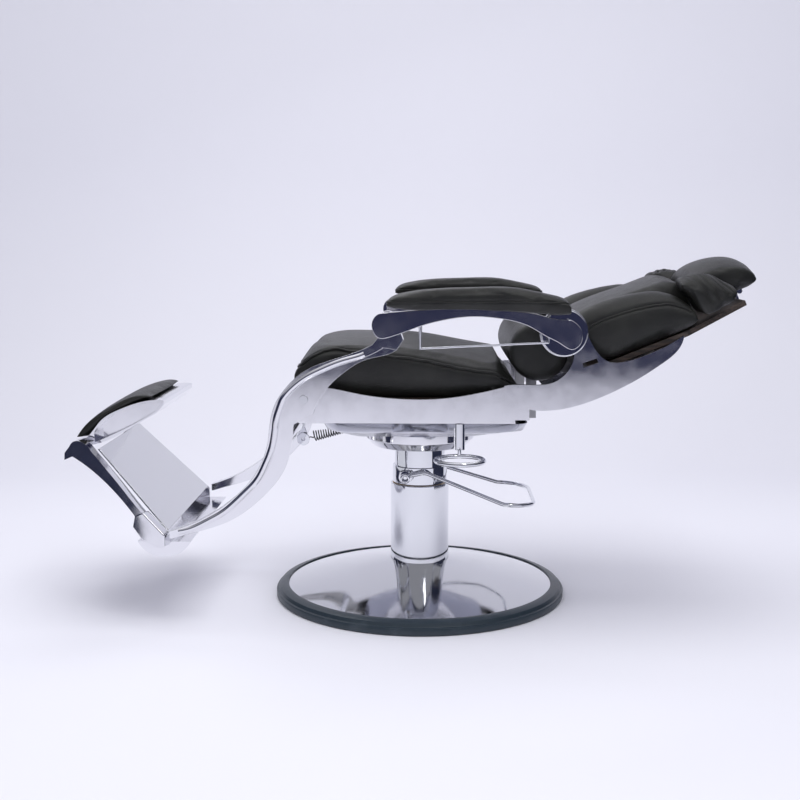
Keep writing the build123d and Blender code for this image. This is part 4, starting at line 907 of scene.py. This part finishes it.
bm = bmesh.new()
places = (-floor_half, -floor_front, 0.0), (-floor_half, wall_place, 0.0), (-floor_half, wall_place, wall_height)
a, b, c = [bm.verts.new(place) for place in places]
verts, edges = grown(bm, [bm.edges.new((a, b)), bm.edges.new((b, c))])
bmesh.ops.translate(bm, verts=verts, vec=(2 * floor_half, 0.0, 0.0))
bmesh.ops.bevel(bm, geom=[e for e in bm.edges if not e.is_boundary], offset=bend, offset_type="OFFSET",
                segments=bend_rows, profile=0.5, affect="EDGES", material=-1)
bmesh.ops.recalc_face_normals(bm, faces=bm.faces)
staged("backdrop", bm, paper())
print("floor and backdrop set")

# %% [markdown]
# ## Dark cards
#
# A round mirror shows all that stands beside it. The photograph's column is pale in the middle with a dark band
# down each side, as dark screens beside a chair would give it. Two curved cards do that here. Only mirror
# reflections see them, so they neither darken the chair nor throw a shadow.

# %% Dark cards
card_start_deg, card_turn_deg, card_reach, card_height, card_rows = 58.0, 62.0, 1.30, 0.95, 12


def card_cloth(name):
    """Dark blue-black cloth."""
    surface = Surface(name, Base_Color=(0.030, 0.034, 0.060, 1.0), Specular_IOR_Level=0.1)
    surface.feed("Roughness", surface.noise(0.2) * 0.1 + 0.85)
    return surface


def dark_card(name, sign):
    """A curved dark screen beside the chair that only polished metal can see."""
    bm = bmesh.new()
    start = math.radians(card_start_deg)
    x, y = sign * card_reach * math.sin(start), -card_reach * math.cos(start)
    foot, head = bm.verts.new((x, y, 0.0)), bm.verts.new((x, y, card_height))
    bmesh.ops.spin(bm, geom=[foot, head, bm.edges.new((foot, head))], cent=(0, 0, 0), axis=(0, 0, 1),
                   angle=sign * math.radians(card_turn_deg), steps=card_rows)
    thing = staged(name, bm, card_cloth(name + "_cloth"))
    thing.visible_camera = thing.visible_diffuse = thing.visible_shadow = False


dark_card("dark_card_right", 1)
dark_card("dark_card_left", -1)
print("dark cards set")

# %% [markdown]
# ## Light
#
# Large soft boxes above and in front light the chair evenly, as in a small studio. The two largest are hidden
# from mirror reflections, where they would show as white squares. A narrow strip and a lamp from behind give the
# rims their highlights.


# %% Soft boxes
def soft_box(name, place, target, size, power, colour=(1.0, 1.0, 1.0), mirrored=True):
    """A rectangular lamp that faces a place."""
    lamp = bpy.data.lights.new(name, "AREA")
    lamp.shape = "RECTANGLE"
    lamp.size, lamp.size_y = size
    lamp.energy = power
    lamp.color = colour
    thing = bpy.data.objects.new(name, lamp)
    scene.collection.objects.link(thing)
    thing.location = place
    thing.rotation_euler = (Vector(target) - Vector(place)).to_track_quat("-Z", "Y").to_euler()
    thing.visible_glossy = mirrored


soft_box("softbox_top", (0.0, -0.3, 3.2), (0.0, 0.0, 0.4), (2.6, 2.0), 44.0, mirrored=False)
soft_box("softbox_front", (-0.9, -3.6, 2.0), (0.0, 0.0, 0.5), (1.2, 1.6), 22.0, (0.98, 0.98, 1.0), mirrored=False)
soft_box("softbox_strip", (0.7, -1.5, 2.5), (0.0, 0.0, 0.5), (0.35, 1.5), 9.0)
soft_box("softbox_rear", (-0.6, 1.3, 2.4), (0.0, 0.0, 0.4), (1.3, 0.5), 9.0)
print("soft boxes set")

# %% [markdown]
# ## Studio seen in the metal
#
# Polished metal shows the whole room: in the photograph, faces that look at the camera are navy where they mirror
# a dark room, and pale where they mirror the floor. A picture of a room could be used, but the world's colour can
# be worked out from its direction alone. Mirror reflections see that room, and all else gets an even pale light.

# %% World
world = bpy.data.worlds.new("studio")
scene.world = world
world.use_nodes = True
air = world.node_tree
background = air.nodes["Background"]
direction = add_node(air, "ShaderNodeTexCoord", output="Generated")
north, up = [add_node(air, "ShaderNodeSeparateXYZ", {}, {0: direction}, letter) for letter in "YZ"]
wall_strength, ceiling_strength, room_strength, even_strength = 0.40, 1.1, 0.055, 0.64
dark_room = (1.0 - north.step(-0.10, 0.25)) * (1.0 - up.step(0.20, 0.45))
overhead = up.step(0.72, 0.90)
seen = wall_strength * (1.0 - dark_room) * (1.0 - overhead) + overhead * ceiling_strength + dark_room * room_strength
glossy = add_node(air, "ShaderNodeLightPath", output="Is Glossy Ray")
air_colour = add_node(air, "ShaderNodeMix", {"data_type": "RGBA"}, {
    "Factor": glossy * dark_room, "A": (0.97, 0.97, 1.04, 1.0), "B": (0.55, 0.60, 1.25, 1.0)}, "Result")
air_strength = glossy * seen + (1.0 - glossy) * even_strength
air.links.new(air_colour.socket, background.inputs["Color"])
air.links.new(air_strength.socket, background.inputs["Strength"])
scene.view_settings.view_transform = "Standard"
print("world set")

# %% [markdown]
# ## Camera
#
# The photograph's camera was worked out from the round base and from pairs of equal pieces on the near and the
# far side. It stands low and nearly square to the chair's side. Its lens is given in picture widths, which hold
# for any sensor.

# %% Camera
lens_pixels, picture_pixels, sensor = 1193.0, 800.0, 36.0
camera_place = (0.023, -2.776, 0.833)
camera_pitch, camera_yaw = 7.64, 1.44
camera = bpy.data.cameras.new("camera")
camera.sensor_width = sensor
camera.lens = lens_pixels / picture_pixels * sensor
camera_object = bpy.data.objects.new("camera", camera)
scene.collection.objects.link(camera_object)
camera_object.location = camera_place
camera_object.rotation_euler = (math.radians(90.0 - camera_pitch), 0.0, math.radians(camera_yaw))
scene.camera = camera_object
print(f"camera set, lens {camera.lens:.1f} mm")
